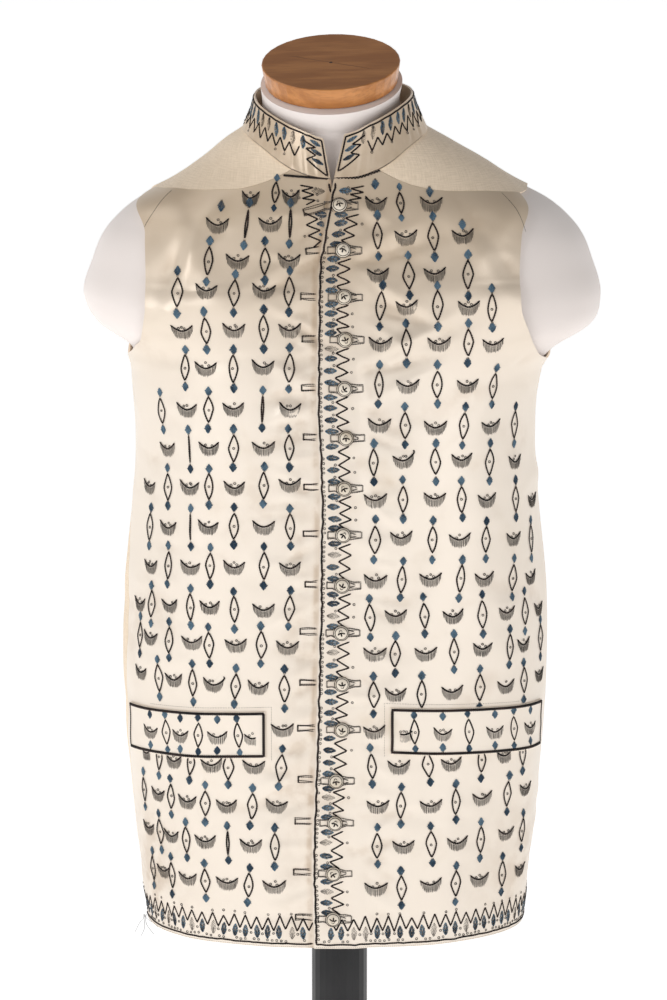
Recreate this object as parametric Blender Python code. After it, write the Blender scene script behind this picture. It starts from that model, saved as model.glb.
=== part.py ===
"""Embroidered silk waistcoat of about 1790, worn by a limbless dress form on a post and round base.

The cloth is cut as two satin fronts, two plain back pieces that come over the shoulders to a
forward seam, a stand collar, two pocket flaps and sixteen covered buttons. Every piece is a thin
wall. Metres, +Z up, the front faces -Y, and the origin is the middle of the base's underside.
"""

from collections import namedtuple
from math import cos, pi, radians, sin, tan

import bmesh
import bpy
import numpy as np

# Cloth and seams
WALL = 0.0016
SEAM_GAP = 0.0003
OVERLAP_LIFT = WALL + SEAM_GAP
OVERLAP_HELD = 0.008
OVERLAP_BLEND = 0.016

# Heights of the cloth's main points
HEM = 0.230
UNDERARM = 0.708
NECK_FRONT = 0.861
NECK_BACK = 0.905

# The worn body as level sections, rounded rectangles between an ellipse and a box. slack is the
# space between the cloth's inside and the form.
Section = namedtuple("Section", "height half_width front back exponent x_mid slack")
SECTIONS = (
    Section(0.215, 0.1565, -0.1080, 0.1075, 2.30, 0.0, 0.0100),
    Section(0.275, 0.1635, -0.1115, 0.1120, 2.30, 0.0, 0.0100),
    Section(0.345, 0.1700, -0.1150, 0.1140, 2.30, 0.0, 0.0100),
    Section(0.431, 0.1760, -0.1180, 0.1120, 2.30, 0.0, 0.0090),
    Section(0.500, 0.1750, -0.1185, 0.1080, 2.30, 0.0, 0.0100),
    Section(0.584, 0.1675, -0.1180, 0.1052, 2.30, 0.0, 0.0100),
    Section(0.640, 0.1645, -0.1180, 0.1065, 2.35, 0.0, 0.0070),
    Section(0.688, 0.1680, -0.1155, 0.1090, 2.45, 0.0005, 0.0040),
    Section(0.706, 0.1715, -0.1145, 0.1100, 2.50, 0.0025, 0.0030),
    Section(0.718, 0.1805, -0.1130, 0.1105, 2.50, 0.0070, 0.0037),
    Section(0.735, 0.2065, -0.1110, 0.1110, 2.50, 0.0085, 0.0030),
    Section(0.757, 0.2160, -0.1080, 0.1110, 2.50, 0.0060, 0.0020),
    Section(0.785, 0.2095, -0.1010, 0.1095, 2.45, 0.0060, 0.0018),
    Section(0.815, 0.1950, -0.0920, 0.1065, 2.35, 0.0062, 0.0022),
    Section(0.835, 0.1740, -0.0850, 0.1035, 2.30, 0.0064, 0.0044),
    Section(0.850, 0.1440, -0.0770, 0.0990, 2.20, 0.0066, 0.0043),
    Section(0.868, 0.1155, -0.0690, 0.0930, 2.05, 0.0055, 0.0047),
    Section(0.884, 0.0925, -0.0630, 0.0850, 1.95, 0.0015, 0.0046),
    Section(0.897, 0.0722, -0.0600, 0.0770, 1.95, -0.0005, 0.0050),
    Section(0.908, 0.0621, -0.0610, 0.0690, 2.00, -0.0028, 0.0025),
    Section(0.935, 0.0606, -0.0690, 0.0580, 2.00, -0.0028, 0.0010),
)

# The worn body stands this far to one side of the base's middle
BODY_X = -0.0058

# Shares of the way round: 0 is the middle of the front
AT_SIDE = 0.5
AT_BACK = 1.0

# Soft folds, each a long low swell on the cloth. along is measured round the body from the
# middle of the front, plus to the wearer's left, and lean turns the fold from upright.
Fold = namedtuple("Fold", "along height length width lean rise")
FOLDS = (
    Fold(-0.120, 0.330, 0.090, 0.022, 4, 0.0022),
    Fold(-0.055, 0.290, 0.060, 0.020, -5, 0.0016),
    Fold(0.085, 0.310, 0.080, 0.024, 3, 0.0020),
    Fold(0.170, 0.350, 0.100, 0.026, -3, 0.0022),
    Fold(-0.100, 0.765, 0.080, 0.014, 84, 0.0018),
    Fold(0.100, 0.770, 0.080, 0.014, 95, 0.0018),
    Fold(0.125, 0.815, 0.050, 0.012, 40, 0.0016),
    Fold(-0.125, 0.805, 0.050, 0.012, -35, 0.0014),
    Fold(-0.330, 0.320, 0.100, 0.028, 3, 0.0030),
    Fold(-0.410, 0.330, 0.110, 0.030, -2, 0.0028),
    Fold(0.330, 0.310, 0.100, 0.028, -4, 0.0030),
    Fold(0.420, 0.340, 0.110, 0.030, 3, 0.0026),
    Fold(-0.370, 0.600, 0.090, 0.018, 75, 0.0022),
    Fold(0.370, 0.590, 0.090, 0.018, 105, 0.0022),
)

# The front opening. left_edge is the wearer's left front, which lies on top.
Opening = namedtuple("Opening", "height left_edge right_edge")
FRONT_EDGES = (
    Opening(0.230, -0.0170, 0.0060),
    Opening(0.305, -0.0190, 0.0050),
    Opening(0.362, -0.0170, 0.0060),
    Opening(0.428, -0.0150, 0.0070),
    Opening(0.515, -0.0130, 0.0080),
    Opening(0.600, -0.0120, 0.0080),
    Opening(0.641, -0.0130, 0.0080),
    Opening(0.682, -0.0150, 0.0070),
    Opening(0.787, -0.0140, 0.0060),
    Opening(0.803, -0.0120, 0.0060),
    Opening(0.861, -0.0010, -0.0035),
)

# The side seams, by their angle round from the middle of the front
Seam = namedtuple("Seam", "height right_turn left_turn")
SIDE_SEAMS = (
    Seam(0.230, 88, 93),
    Seam(0.330, 84, 94),
    Seam(0.430, 78, 95),
    Seam(0.550, 78, 93),
    Seam(0.600, 84, 91),
    Seam(0.650, 88, 84),
    Seam(0.708, 88, 80),
)

# The armholes' cut edges on the fronts, as distances from the middle line at a height
Armhole = namedtuple("Armhole", "height right_x left_x")
ARMHOLE_FRONT = (
    Armhole(0.720, 0.1645, 0.1645),
    Armhole(0.734, 0.1570, 0.1585),
    Armhole(0.752, 0.1535, 0.1515),
    Armhole(0.785, 0.1530, 0.1490),
    Armhole(0.815, 0.1545, 0.1510),
)

# Points on the other cut edges, the same on both halves
Mark = namedtuple("Mark", "x height")
ARMHOLE_BACK = (
    Mark(0.1690, 0.722),
    Mark(0.1580, 0.742),
    Mark(0.1490, 0.775),
    Mark(0.1480, 0.812),
    Mark(0.1530, 0.838),
)
SHOULDER_TIP = Mark(0.1500, 0.8445)
YOKE = (
    Mark(0.1290, 0.8480),
    Mark(0.1000, 0.8500),
    Mark(0.0780, 0.8520),
    Mark(0.0560, 0.8580),
)
YOKE_INNER = Mark(0.0350, 0.868)
NECK_TURN = Mark(0.0600, 0.884)
FRONT_NECK_DIP = 0.0015
SHOULDER_RIDGE = 0.8465
RIDGE_MIDDLE = 0.872
NECK_SIDE = 0.897
NECK_BEHIND = 0.903

# Grid counts
COLUMNS_NECK = 3
COLUMNS_YOKE = 9
COLUMNS_BACK_NECK = 6
ROWS_BODY = 17
ROWS_ARMHOLE = 10
ROWS_OVER_SHOULDER = 5
COLLAR_ROWS = 3
TOP_FROM = 0.80

# Stand collar: its top edge as a ring round the neck, by the angle round from the front
COLLAR_WALL = 0.0016
COLLAR_HALF_WIDTH = 0.0633
COLLAR_HALF_DEPTH = 0.0660
COLLAR_X = -0.0013
COLLAR_Y = 0.0010
COLLAR_NOTCH_RIGHT = -0.0095
COLLAR_NOTCH_LEFT = 0.0075
COLLAR_BOW = 0.0008
Rim = namedtuple("Rim", "turn right left")
COLLAR_TOP = (
    Rim(0, 0.8905, 0.8950),
    Rim(12, 0.8945, 0.8975),
    Rim(30, 0.9015, 0.9055),
    Rim(60, 0.9125, 0.9170),
    Rim(90, 0.9205, 0.9235),
    Rim(130, 0.9265, 0.9275),
    Rim(180, 0.9320, 0.9320),
)

# Pocket flaps: the inner end's place from the middle line, and the top edge's two heights
Flap = namedtuple("Flap", "inner_x length inner_top outer_top")
FLAP_RIGHT = Flap(0.0565, 0.139, 0.4310, 0.4225)
FLAP_LEFT = Flap(0.0450, 0.151, 0.4345, 0.4250)
FLAP_HEIGHT = 0.0385
FLAP_COLUMNS = 12
FLAP_ROWS = 2

# Covered buttons on the wearer's left front, and the outline of their dome
Place = namedtuple("Place", "height x")
BUTTONS = (
    Place(0.8402, 0.0035),
    Place(0.8062, 0.0065),
    Place(0.7697, 0.0073),
    Place(0.7365, 0.0081),
    Place(0.6975, 0.0075),
    Place(0.6576, 0.0088),
    Place(0.6168, 0.0073),
    Place(0.5786, 0.0065),
    Place(0.5370, 0.0057),
    Place(0.4979, 0.0050),
    Place(0.4554, 0.0057),
    Place(0.4172, 0.0055),
    Place(0.3739, 0.0008),
    Place(0.3382, 0.0000),
    Place(0.2949, -0.0014),
    Place(0.2558, -0.0016),
)
BUTTON_RADIUS = 0.006
BUTTON_HEIGHT = 0.0040
BUTTON_SIDES = 12
Step = namedtuple("Step", "radius rise")
BUTTON_DOME = (
    Step(1.00, 0.00),
    Step(1.00, 0.35),
    Step(0.80, 0.75),
    Step(0.42, 0.96),
)

# Dress form, neck cap, post and base
FORM_BOTTOM = 0.285
FORM_BOTTOM_ROUND = 0.022
FORM_BOTTOM_SHARE = 0.86
FORM_BOTTOM_RINGS = 4
FORM_SIDES = 44
NECK_TILT = radians(18)
NECK_ROLL = radians(2)
NECK_TILT_FROM = 0.893
NECK_TOP = 0.932
CAP_RADIUS_LOW = 0.0540
CAP_RADIUS_TOP = 0.0568
CAP_THICKNESS = 0.0180
CAP_EDGE = 0.0012
CAP_SIDES = 36
POST_RADIUS = 0.0235
POST_X = -0.0020
POST_SIDES = 24
BASE_RADIUS = 0.160
BASE_THICKNESS = 0.014
BASE_EDGE = 0.003
BASE_SIDES = 48
FORM_HEIGHTS = (
    0.345, 0.390, 0.431, 0.470, 0.505, 0.545, 0.584, 0.615, 0.645, 0.670, 0.690, 0.705, 0.715,
    0.725, 0.736, 0.748, 0.760, 0.773, 0.787, 0.800, 0.813, 0.825, 0.835, 0.845, 0.855, 0.865,
    0.875, 0.885, 0.893, 0.900, 0.908, 0.920,
)

# Sampling of one section when its length is measured
TURN_SAMPLES = 181
STEP = 0.0004

# A seam's edge is drawn in by at most this share of its cell
MOST_OF_CELL = 0.4

# Shading keeps edges sharper than this, in degrees
CLOTH_EDGE = 40
FORM_EDGE = 60
PLATE_EDGE = 50


def smooth_curve(knots, values, at):
    """A value on a smooth curve through the knots."""
    knots, values, at = (np.asarray(v, float) for v in (knots, values, at))
    slopes = np.gradient(values, knots)
    i = np.clip(np.searchsorted(knots, at) - 1, 0, len(knots) - 2)
    span = knots[i + 1] - knots[i]
    q = (np.clip(at, knots[0], knots[-1]) - knots[i]) / span
    rise = values[i + 1] - values[i]
    curve = values[i] + rise * q * q * (3 - 2 * q)
    return curve + span * q * (1 - q) * (slopes[i] * (1 - q) - slopes[i + 1] * q)


def section_value(name, height):
    heights = [row.height for row in SECTIONS]
    return smooth_curve(heights, [getattr(row, name) for row in SECTIONS], height)


def signed_power(value, power):
    return np.sign(value) * np.abs(value) ** power


def body_point(turn, height, inset=0.0):
    """The point of the worn body at an angle round from the front, in radians, and a height."""
    half_width = section_value("half_width", height) - inset
    front, back = section_value("front", height) + inset, section_value("back", height) - inset
    power = 2 / section_value("exponent", height)
    x = section_value("x_mid", height) + half_width * signed_power(np.sin(turn), power)
    y = (front + back) / 2 - (back - front) / 2 * signed_power(np.cos(turn), power)
    return np.stack(np.broadcast_arrays(x, y, height), axis=-1)


def half_section(height):
    """Angles round one half of a section, and the length round to each of them."""
    turns = np.linspace(0, pi, TURN_SAMPLES)
    points = body_point(turns, np.full(TURN_SAMPLES, height))
    lengths = np.linalg.norm(np.diff(points, axis=0), axis=1)
    return turns, np.concatenate([[0], np.cumsum(lengths)])


def girth_half(height):
    return half_section(height)[1][-1]


def turn_at(share, height):
    """The angle at a share of the way round from the front (0) to the back (1 or -1)."""
    turns, lengths = half_section(height)
    turn = np.interp(abs(share) * lengths[-1], lengths, turns)
    return turn if share >= 0 else -turn


def share_at_turn(turn, height):
    turns, lengths = half_section(height)
    share = np.interp(abs(turn), turns, lengths) / lengths[-1]
    return share if turn >= 0 else -share


def share_at_x(x, height, behind=False):
    """The share round at a sideways place on the front or the back of the body."""
    beside = x - section_value("x_mid", height)
    reach = min(abs(beside) / section_value("half_width", height), 1.0)
    turn = np.arcsin(reach ** (section_value("exponent", height) / 2))
    turn = pi - turn if behind else turn
    return share_at_turn(turn if beside >= 0 else -turn, height)


def fold_rise(share, height):
    """How far the soft folds lift the cloth."""
    along = share * girth_half(height)
    rise = 0.0
    for fold in FOLDS:
        lean = radians(fold.lean)
        across, up = along - fold.along, height - fold.height
        down_fold = up * cos(lean) + across * sin(lean)
        over_fold = across * cos(lean) - up * sin(lean)
        rise += fold.rise * np.exp(-((down_fold / fold.length) ** 2) - (over_fold / fold.width) ** 2)
    return rise


def bare_point(share, height):
    return body_point(turn_at(share, height), height)


def cloth_point(share, height, lift=0.0):
    """A point on the cloth's outer face, moved out by its folds and by lift."""
    middle = bare_point(share, height)
    step = STEP / girth_half(height)
    round_way = bare_point(share + step, height) - bare_point(share - step, height)
    up_way = bare_point(share, height + STEP) - bare_point(share, height - STEP)
    normal = np.cross(round_way, up_way)
    normal /= np.linalg.norm(normal)
    return middle + normal * (lift + fold_rise(share, height)), normal


def through(marks, count):
    """Evenly spaced places along a smooth line through marks, each a share and a height."""
    marks = np.array(marks, float)
    points = np.array([bare_point(*mark) for mark in marks])
    along = np.concatenate([[0], np.cumsum(np.linalg.norm(np.diff(points, axis=0), axis=1))])
    at = np.linspace(0, along[-1], count + 1)
    return np.stack([smooth_curve(along, marks[:, k], at) for k in (0, 1)], axis=1)


def joined(*lines):
    """Lines that follow each other, with the shared points once."""
    return np.concatenate([lines[0]] + [line[1:] for line in lines[1:]])


def side_seam(side):
    """The side seam from hem to underarm. side is 1 for the wearer's left, -1 for the right."""
    heights = [row.height for row in SIDE_SEAMS]
    turns = [row.left_turn if side > 0 else row.right_turn for row in SIDE_SEAMS]
    at = np.linspace(HEM, UNDERARM, ROWS_BODY + 1)
    turn = np.radians(smooth_curve(heights, turns, at))
    return np.array([(share_at_turn(side * t, z), z) for t, z in zip(turn, at)])


def shoulder_tip(side):
    return share_at_x(side * SHOULDER_TIP.x, SHOULDER_TIP.height), SHOULDER_TIP.height


def yoke_seam(side):
    """The seam over the front of the shoulder, from the neck out to the shoulder tip."""
    marks = [(share_at_x(side * m.x, m.height), m.height) for m in (YOKE_INNER, *reversed(YOKE))]
    return through([*marks, shoulder_tip(side)], COLUMNS_YOKE)


def row_heights(top):
    """The heights of the grid's rows, from the hem past the underarm to the top."""
    body = np.linspace(HEM, UNDERARM, ROWS_BODY + 1)
    return joined(body, np.linspace(UNDERARM, top, ROWS_ARMHOLE + 1))


def front_edge(side):
    """The opening's edge from hem to neck, with the rows of the side seam and armhole."""
    heights = [row.height for row in FRONT_EDGES]
    places = [row.left_edge if side > 0 else row.right_edge for row in FRONT_EDGES]
    rows = row_heights(NECK_FRONT)
    return np.array([(share_at_x(np.interp(z, heights, places), z), z) for z in rows])


def front_neck(side):
    dip = NECK_FRONT + FRONT_NECK_DIP
    middle = share_at_x(side * YOKE_INNER.x / 2, dip), dip
    inner = share_at_x(side * YOKE_INNER.x, YOKE_INNER.height), YOKE_INNER.height
    return through([front_edge(side)[-1], middle, inner], COLUMNS_NECK)


def side_neck(side):
    """The neck seam from the side of the neck forward to the yoke seam's inner end."""
    marks = [(share_at_x(side * m.x, m.height), m.height) for m in (NECK_TURN, YOKE_INNER)]
    return through([(side * AT_SIDE, NECK_SIDE), *marks], ROWS_OVER_SHOULDER)


def back_neck(side):
    halfway = side * (AT_SIDE + AT_BACK) / 2
    marks = [(side * AT_SIDE, NECK_SIDE), (halfway, NECK_BEHIND), (side * AT_BACK, NECK_BACK)]
    return through(marks, COLUMNS_BACK_NECK)


def filled(bottom, top, near, far, top_from=0.0):
    """A grid of places inside four edge lines. Only rows past top_from take the top's shape."""
    across = np.linspace(0, 1, len(bottom))[None, :, None]
    up = np.linspace(0, 1, len(near))[:, None, None]
    high = np.clip((up - top_from) / (1 - top_from), 0, 1)
    straight = (1 - across) * near[:, None] + across * far[:, None]
    low_bend = bottom[None] - (1 - across) * bottom[0] - across * bottom[-1]
    high_bend = top[None] - (1 - across) * top[0] - across * top[-1]
    return straight + (1 - up) * low_bend + high * high_bend


def pulled_in(places, bottom=True, top=True, near=True, far=True):
    """The grid with chosen edges drawn in by half of the gap that seams keep."""
    drawn = places.copy()
    for on, edge, inner in ((bottom, 0, 1), (top, -1, -2)):
        if on:
            drawn[edge] = toward(places[edge], places[inner])
    for on, edge, inner in ((near, 0, 1), (far, -1, -2)):
        if on:
            drawn[:, edge] = toward(drawn[:, edge], drawn[:, inner])
    return drawn


def toward(edge, inner):
    moved = edge.copy()
    for i, (a, b) in enumerate(zip(edge, inner)):
        distance = np.linalg.norm(bare_point(*b) - bare_point(*a))
        moved[i] = a + (b - a) * min(SEAM_GAP / 2 / distance, MOST_OF_CELL)
    return moved


def material(name, color, roughness, metallic=0.0):
    made = bpy.data.materials.new(name)
    made.use_nodes = True
    shader = made.node_tree.nodes["Principled BSDF"]
    shader.inputs["Base Color"].default_value = (*color, 1)
    shader.inputs["Roughness"].default_value = roughness
    shader.inputs["Metallic"].default_value = metallic
    return made


def add_object(name, points, faces, finish, edge_angle=CLOTH_EDGE):
    mesh = bpy.data.meshes.new(name)
    mesh.from_pydata([(x + BODY_X, y, z) for x, y, z in points], [], faces)
    body = bmesh.new()
    body.from_mesh(mesh)
    bmesh.ops.recalc_face_normals(body, faces=body.faces)
    body.to_mesh(mesh)
    body.free()
    mesh.materials.append(finish)
    mesh.shade_smooth()
    mesh.set_sharp_from_angle(angle=radians(edge_angle))
    made = bpy.data.objects.new(name, mesh)
    bpy.context.scene.collection.objects.link(made)
    return made


def wall_faces(faces, count):
    """Faces of a closed wall: the outer ones, the inner ones behind them, and the rim."""
    edges = [(a, b) for face in faces for a, b in zip(face, face[1:] + face[:1])]
    there = set(edges)
    rim = [(a, b, b + count, a + count) for a, b in edges if (b, a) not in there]
    return faces + [tuple(i + count for i in reversed(face)) for face in faces] + rim


def grid_faces(rows, columns, start=0):
    faces = []
    for j in range(rows - 1):
        for i in range(columns - 1):
            a = start + j * columns + i
            faces.append((a, a + 1, a + columns + 1, a + columns))
    return faces


def no_lift(share, height):
    return 0.0


def cloth_wall(name, places, faces, finish, lift=no_lift):
    """A closed wall with its outer face at the places of the cloth."""
    outer, inner = [], []
    for share, height in places:
        point, normal = cloth_point(share, height, lift(share, height))
        outer.append(point)
        inner.append(point - normal * WALL)
    return add_object(name, outer + inner, wall_faces(faces, len(outer)), finish)


def overlap_lift(share, height):
    """The wearer's left front rises over the other front's edge."""
    heights = [row.height for row in FRONT_EDGES]
    other = share_at_x(np.interp(height, heights, [row.right_edge for row in FRONT_EDGES]), height)
    past = (share - other) * girth_half(height) - OVERLAP_HELD
    q = np.clip(1 - past / OVERLAP_BLEND, 0, 1)
    return OVERLAP_LIFT * q * q * (3 - 2 * q)


def front_places(side):
    """The grid of places of one front, from its opening's edge out to the side seam and armhole."""
    marks = [(row.left_x if side > 0 else -row.right_x, row.height) for row in ARMHOLE_FRONT]
    armhole = [(share_at_x(x, height), height) for x, height in marks]
    seam = side_seam(side)
    far = joined(seam, through([seam[-1], *armhole, shoulder_tip(side)], ROWS_ARMHOLE))
    near = front_edge(side)
    top = joined(front_neck(side), yoke_seam(side))
    columns = COLUMNS_NECK + COLUMNS_YOKE
    bottom = np.stack([np.linspace(near[0][0], far[0][0], columns + 1), np.full(columns + 1, HEM)], axis=1)
    return pulled_in(filled(bottom, top, near, far, TOP_FROM), bottom=False, near=False)


def add_front(side, name, finish):
    places = front_places(side)
    rows, columns = places.shape[:2]
    lift = overlap_lift if side > 0 else no_lift
    return cloth_wall(name, places.reshape(-1, 2), grid_faces(rows, columns), finish, lift)


def back_blocks(side):
    """The back piece as two grids that share the shoulder's ridge."""
    ridge_heights = (SHOULDER_RIDGE, RIDGE_MIDDLE, NECK_SIDE)
    ridge = through([(side * AT_SIDE, height) for height in ridge_heights], COLUMNS_YOKE)
    armhole = [(share_at_x(side * m.x, m.height, behind=True), m.height) for m in ARMHOLE_BACK]
    seam = side_seam(side)
    near = joined(seam, through([seam[-1], *armhole, ridge[0]], ROWS_ARMHOLE))
    top = joined(ridge, back_neck(side))
    columns = len(top)
    shares = np.linspace(seam[0][0], side * AT_BACK, columns)
    bottom = np.stack([shares, np.full(columns, HEM)], axis=1)
    heights = row_heights(NECK_BACK)
    far = np.stack([np.full(len(heights), side * AT_BACK), heights], axis=1)
    lower = pulled_in(filled(bottom, top, near, far, TOP_FROM), bottom=False, top=False)
    lower[-1, COLUMNS_YOKE:] = toward(lower[-1, COLUMNS_YOKE:], lower[-2, COLUMNS_YOKE:])
    yoke = yoke_seam(side)[::-1]
    tip = through([lower[-1, 0], yoke[0]], ROWS_OVER_SHOULDER)
    over = filled(lower[-1, : COLUMNS_YOKE + 1], yoke, tip, side_neck(side))
    over = pulled_in(over, bottom=False)
    over[0] = lower[-1, : COLUMNS_YOKE + 1]
    return lower, over


def add_back(side, name, finish):
    lower, over = back_blocks(side)
    rows, columns = lower.shape[:2]
    places = np.concatenate([lower.reshape(-1, 2), over[1:].reshape(-1, 2)])
    faces = grid_faces(rows, columns)
    shared = [(rows - 1) * columns + i for i in range(COLUMNS_YOKE + 1)]
    index = [shared]
    for j in range(over.shape[0] - 1):
        start = rows * columns + j * (COLUMNS_YOKE + 1)
        index.append([start + i for i in range(COLUMNS_YOKE + 1)])
    for low, high in zip(index, index[1:]):
        faces += [(low[i], low[i + 1], high[i + 1], high[i]) for i in range(COLUMNS_YOKE)]
    return cloth_wall(name, places, faces, finish)


def collar_top_point(turn):
    """A point on the collar's top edge, by its angle round from the front in degrees."""
    turns = [row.turn for row in COLLAR_TOP]
    heights = [row.left if turn > 0 else row.right for row in COLLAR_TOP]
    x = COLLAR_X + COLLAR_HALF_WIDTH * sin(radians(turn))
    y = COLLAR_Y - COLLAR_HALF_DEPTH * cos(radians(turn))
    return np.array([x, y, smooth_curve(turns, heights, abs(turn))])


def collar_half(side):
    """Seam points and top points from the notch round to the middle of the back."""
    places = joined(front_neck(side), side_neck(side)[::-1], back_neck(side))
    lift = overlap_lift if side > 0 else no_lift
    seam = np.array([cloth_point(s, z, lift(s, z))[0] for s, z in places])
    notch = COLLAR_NOTCH_LEFT if side > 0 else COLLAR_NOTCH_RIGHT
    first = np.degrees(np.arcsin((notch - COLLAR_X) / COLLAR_HALF_WIDTH))
    along = np.concatenate([[0], np.cumsum(np.linalg.norm(np.diff(seam, axis=0), axis=1))])
    turns = first + (side * 180 - first) * along / along[-1]
    return seam, np.array([collar_top_point(turn) for turn in turns])


def add_collar(finish):
    """One band from notch to notch round the back, from the neck seam to its top edge."""
    seam_right, top_right = collar_half(-1)
    seam_left, top_left = collar_half(1)
    seam = joined(seam_right, seam_left[::-1])
    top = joined(top_right, top_left[::-1])
    outer, inner = [], []
    for j in range(COLLAR_ROWS + 1):
        q = j / COLLAR_ROWS
        for i, (low, high) in enumerate(zip(seam, top)):
            beside = seam[min(i + 1, len(seam) - 1)] - seam[max(i - 1, 0)]
            up = (high - low) / np.linalg.norm(high - low)
            out = np.cross(up, beside)
            out /= -np.linalg.norm(out)
            start = low + up * SEAM_GAP * 2
            point = start + (high - start) * q + out * COLLAR_BOW * sin(pi * q)
            outer.append(point)
            inner.append(point - out * COLLAR_WALL)
    faces = grid_faces(COLLAR_ROWS + 1, len(seam))
    return add_object("collar", outer + inner, wall_faces(faces, len(outer)), finish)


def flap_lift(share, height):
    return SEAM_GAP + WALL


def add_flap(side, name, finish):
    """A pocket flap, one layer of cloth lying on its front."""
    flap = FLAP_LEFT if side > 0 else FLAP_RIGHT
    places = []
    for j in range(FLAP_ROWS + 1):
        drop = FLAP_HEIGHT * (1 - j / FLAP_ROWS)
        first = abs(share_at_x(side * flap.inner_x, flap.inner_top - drop))
        last = first + flap.length / girth_half(flap.outer_top - drop)
        for q in np.linspace(0, 1, FLAP_COLUMNS + 1):
            height = flap.inner_top + (flap.outer_top - flap.inner_top) * q - drop
            places.append((side * (first + (last - first) * q), height))
    faces = grid_faces(FLAP_ROWS + 1, FLAP_COLUMNS + 1)
    return cloth_wall(name, places, faces, finish, flap_lift)


def add_button(number, place, finish):
    """A covered dome button, set square to the cloth under it."""
    share = share_at_x(place.x, place.height)
    lift = overlap_lift(share, place.height) + SEAM_GAP
    foot, out = cloth_point(share, place.height, lift)
    up = np.cross(out, (1, 0, 0))
    up /= -np.linalg.norm(up)
    beside = np.cross(up, out)
    points, rings = [], []
    for radius, rise in BUTTON_DOME:
        rings.append(len(points))
        for k in range(BUTTON_SIDES):
            turn = 2 * pi * k / BUTTON_SIDES
            spoke = beside * cos(turn) + up * sin(turn)
            points.append(foot + spoke * BUTTON_RADIUS * radius + out * BUTTON_HEIGHT * rise)
    points += [foot + out * BUTTON_HEIGHT]
    faces = [tuple(range(BUTTON_SIDES))]
    for low, high in zip(rings, rings[1:]):
        for k in range(BUTTON_SIDES):
            n = (k + 1) % BUTTON_SIDES
            faces.append((low + k, low + n, high + n, high + k))
    last = rings[-1]
    faces += [(last + k, last + (k + 1) % BUTTON_SIDES, len(points) - 1) for k in range(BUTTON_SIDES)]
    return add_object(f"button_{number:02d}", points, faces, finish)


def form_ring(height, shrink, leaning):
    """One ring of the form's surface, inside the cloth by the cloth's wall and slack."""
    turns = np.linspace(0, 2 * pi, FORM_SIDES, endpoint=False)
    inset = WALL + float(section_value("slack", height))
    ring = body_point(turns, np.full(FORM_SIDES, height), inset)
    middle = ring.mean(axis=0)
    spokes = ring[:, :2] - middle[:2]
    ring[:, :2] = middle[:2] + spokes * shrink
    ring[:, 2] += tan(NECK_TILT * leaning) * spokes[:, 1] + tan(NECK_ROLL * leaning) * spokes[:, 0]
    return ring


def form_rings():
    """Rings from the form's rounded bottom edge up to the leaning top of its neck."""
    rings = []
    for turn in np.linspace(0, pi / 2, FORM_BOTTOM_RINGS):
        height = FORM_BOTTOM + FORM_BOTTOM_ROUND * (1 - cos(turn))
        rings.append(form_ring(height, FORM_BOTTOM_SHARE + (1 - FORM_BOTTOM_SHARE) * sin(turn), 0.0))
    for height in (*FORM_HEIGHTS, NECK_TOP):
        leaning = np.clip((height - NECK_TILT_FROM) / (NECK_TOP - NECK_TILT_FROM), 0, 1)
        rings.append(form_ring(height, 1.0, leaning))
    return rings


def add_form(finish):
    rings = form_rings()
    points = np.concatenate(rings)
    faces = [tuple(range(FORM_SIDES)), tuple(range(len(points) - FORM_SIDES, len(points)))]
    for j in range(len(rings) - 1):
        for k in range(FORM_SIDES):
            n = (k + 1) % FORM_SIDES
            low, high = j * FORM_SIDES, (j + 1) * FORM_SIDES
            faces.append((low + k, low + n, high + n, high + k))
    return add_object("form_torso", points, faces, finish, FORM_EDGE)


def add_disc(name, radii, low, high, edge, sides, finish):
    """A round plate or post with broken edges, standing on its own origin."""
    body = bmesh.new()
    bmesh.ops.create_cone(
        body, cap_ends=True, segments=sides, radius1=radii[0], radius2=radii[1], depth=high - low
    )
    bmesh.ops.translate(body, verts=body.verts, vec=(0, 0, (low + high) / 2))
    if edge:
        rims = [e for e in body.edges if abs(e.verts[0].co.z - e.verts[1].co.z) < STEP]
        bmesh.ops.bevel(body, geom=rims, offset=edge, segments=2, profile=0.5, affect="EDGES")
    mesh = bpy.data.meshes.new(name)
    body.to_mesh(mesh)
    body.free()
    mesh.materials.append(finish)
    mesh.shade_smooth()
    mesh.set_sharp_from_angle(angle=radians(PLATE_EDGE))
    made = bpy.data.objects.new(name, mesh)
    bpy.context.scene.collection.objects.link(made)
    return made


def add_stand():
    black = material("black_satin_steel", (0.012, 0.012, 0.013), 0.35, 0.6)
    base_radii = (BASE_RADIUS, BASE_RADIUS)
    base = add_disc("base", base_radii, 0.0, BASE_THICKNESS, BASE_EDGE, BASE_SIDES, black)
    post_radii = (POST_RADIUS, POST_RADIUS)
    low, high = BASE_THICKNESS + SEAM_GAP, FORM_BOTTOM - SEAM_GAP
    post = add_disc("post", post_radii, low, high, 0, POST_SIDES, black)
    post.location.x = POST_X
    return base, post


def add_neck_cap():
    wood = material("varnished_maple", (0.46, 0.21, 0.08), 0.30)
    radii = (CAP_RADIUS_LOW, CAP_RADIUS_TOP)
    low, high = SEAM_GAP, SEAM_GAP + CAP_THICKNESS
    cap = add_disc("neck_cap", radii, low, high, CAP_EDGE, CAP_SIDES, wood)
    cap.location = form_ring(NECK_TOP, 1.0, 1.0).mean(axis=0)
    cap.location.x += BODY_X
    cap.rotation_euler = (NECK_TILT, -NECK_ROLL, 0)
    return cap


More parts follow.
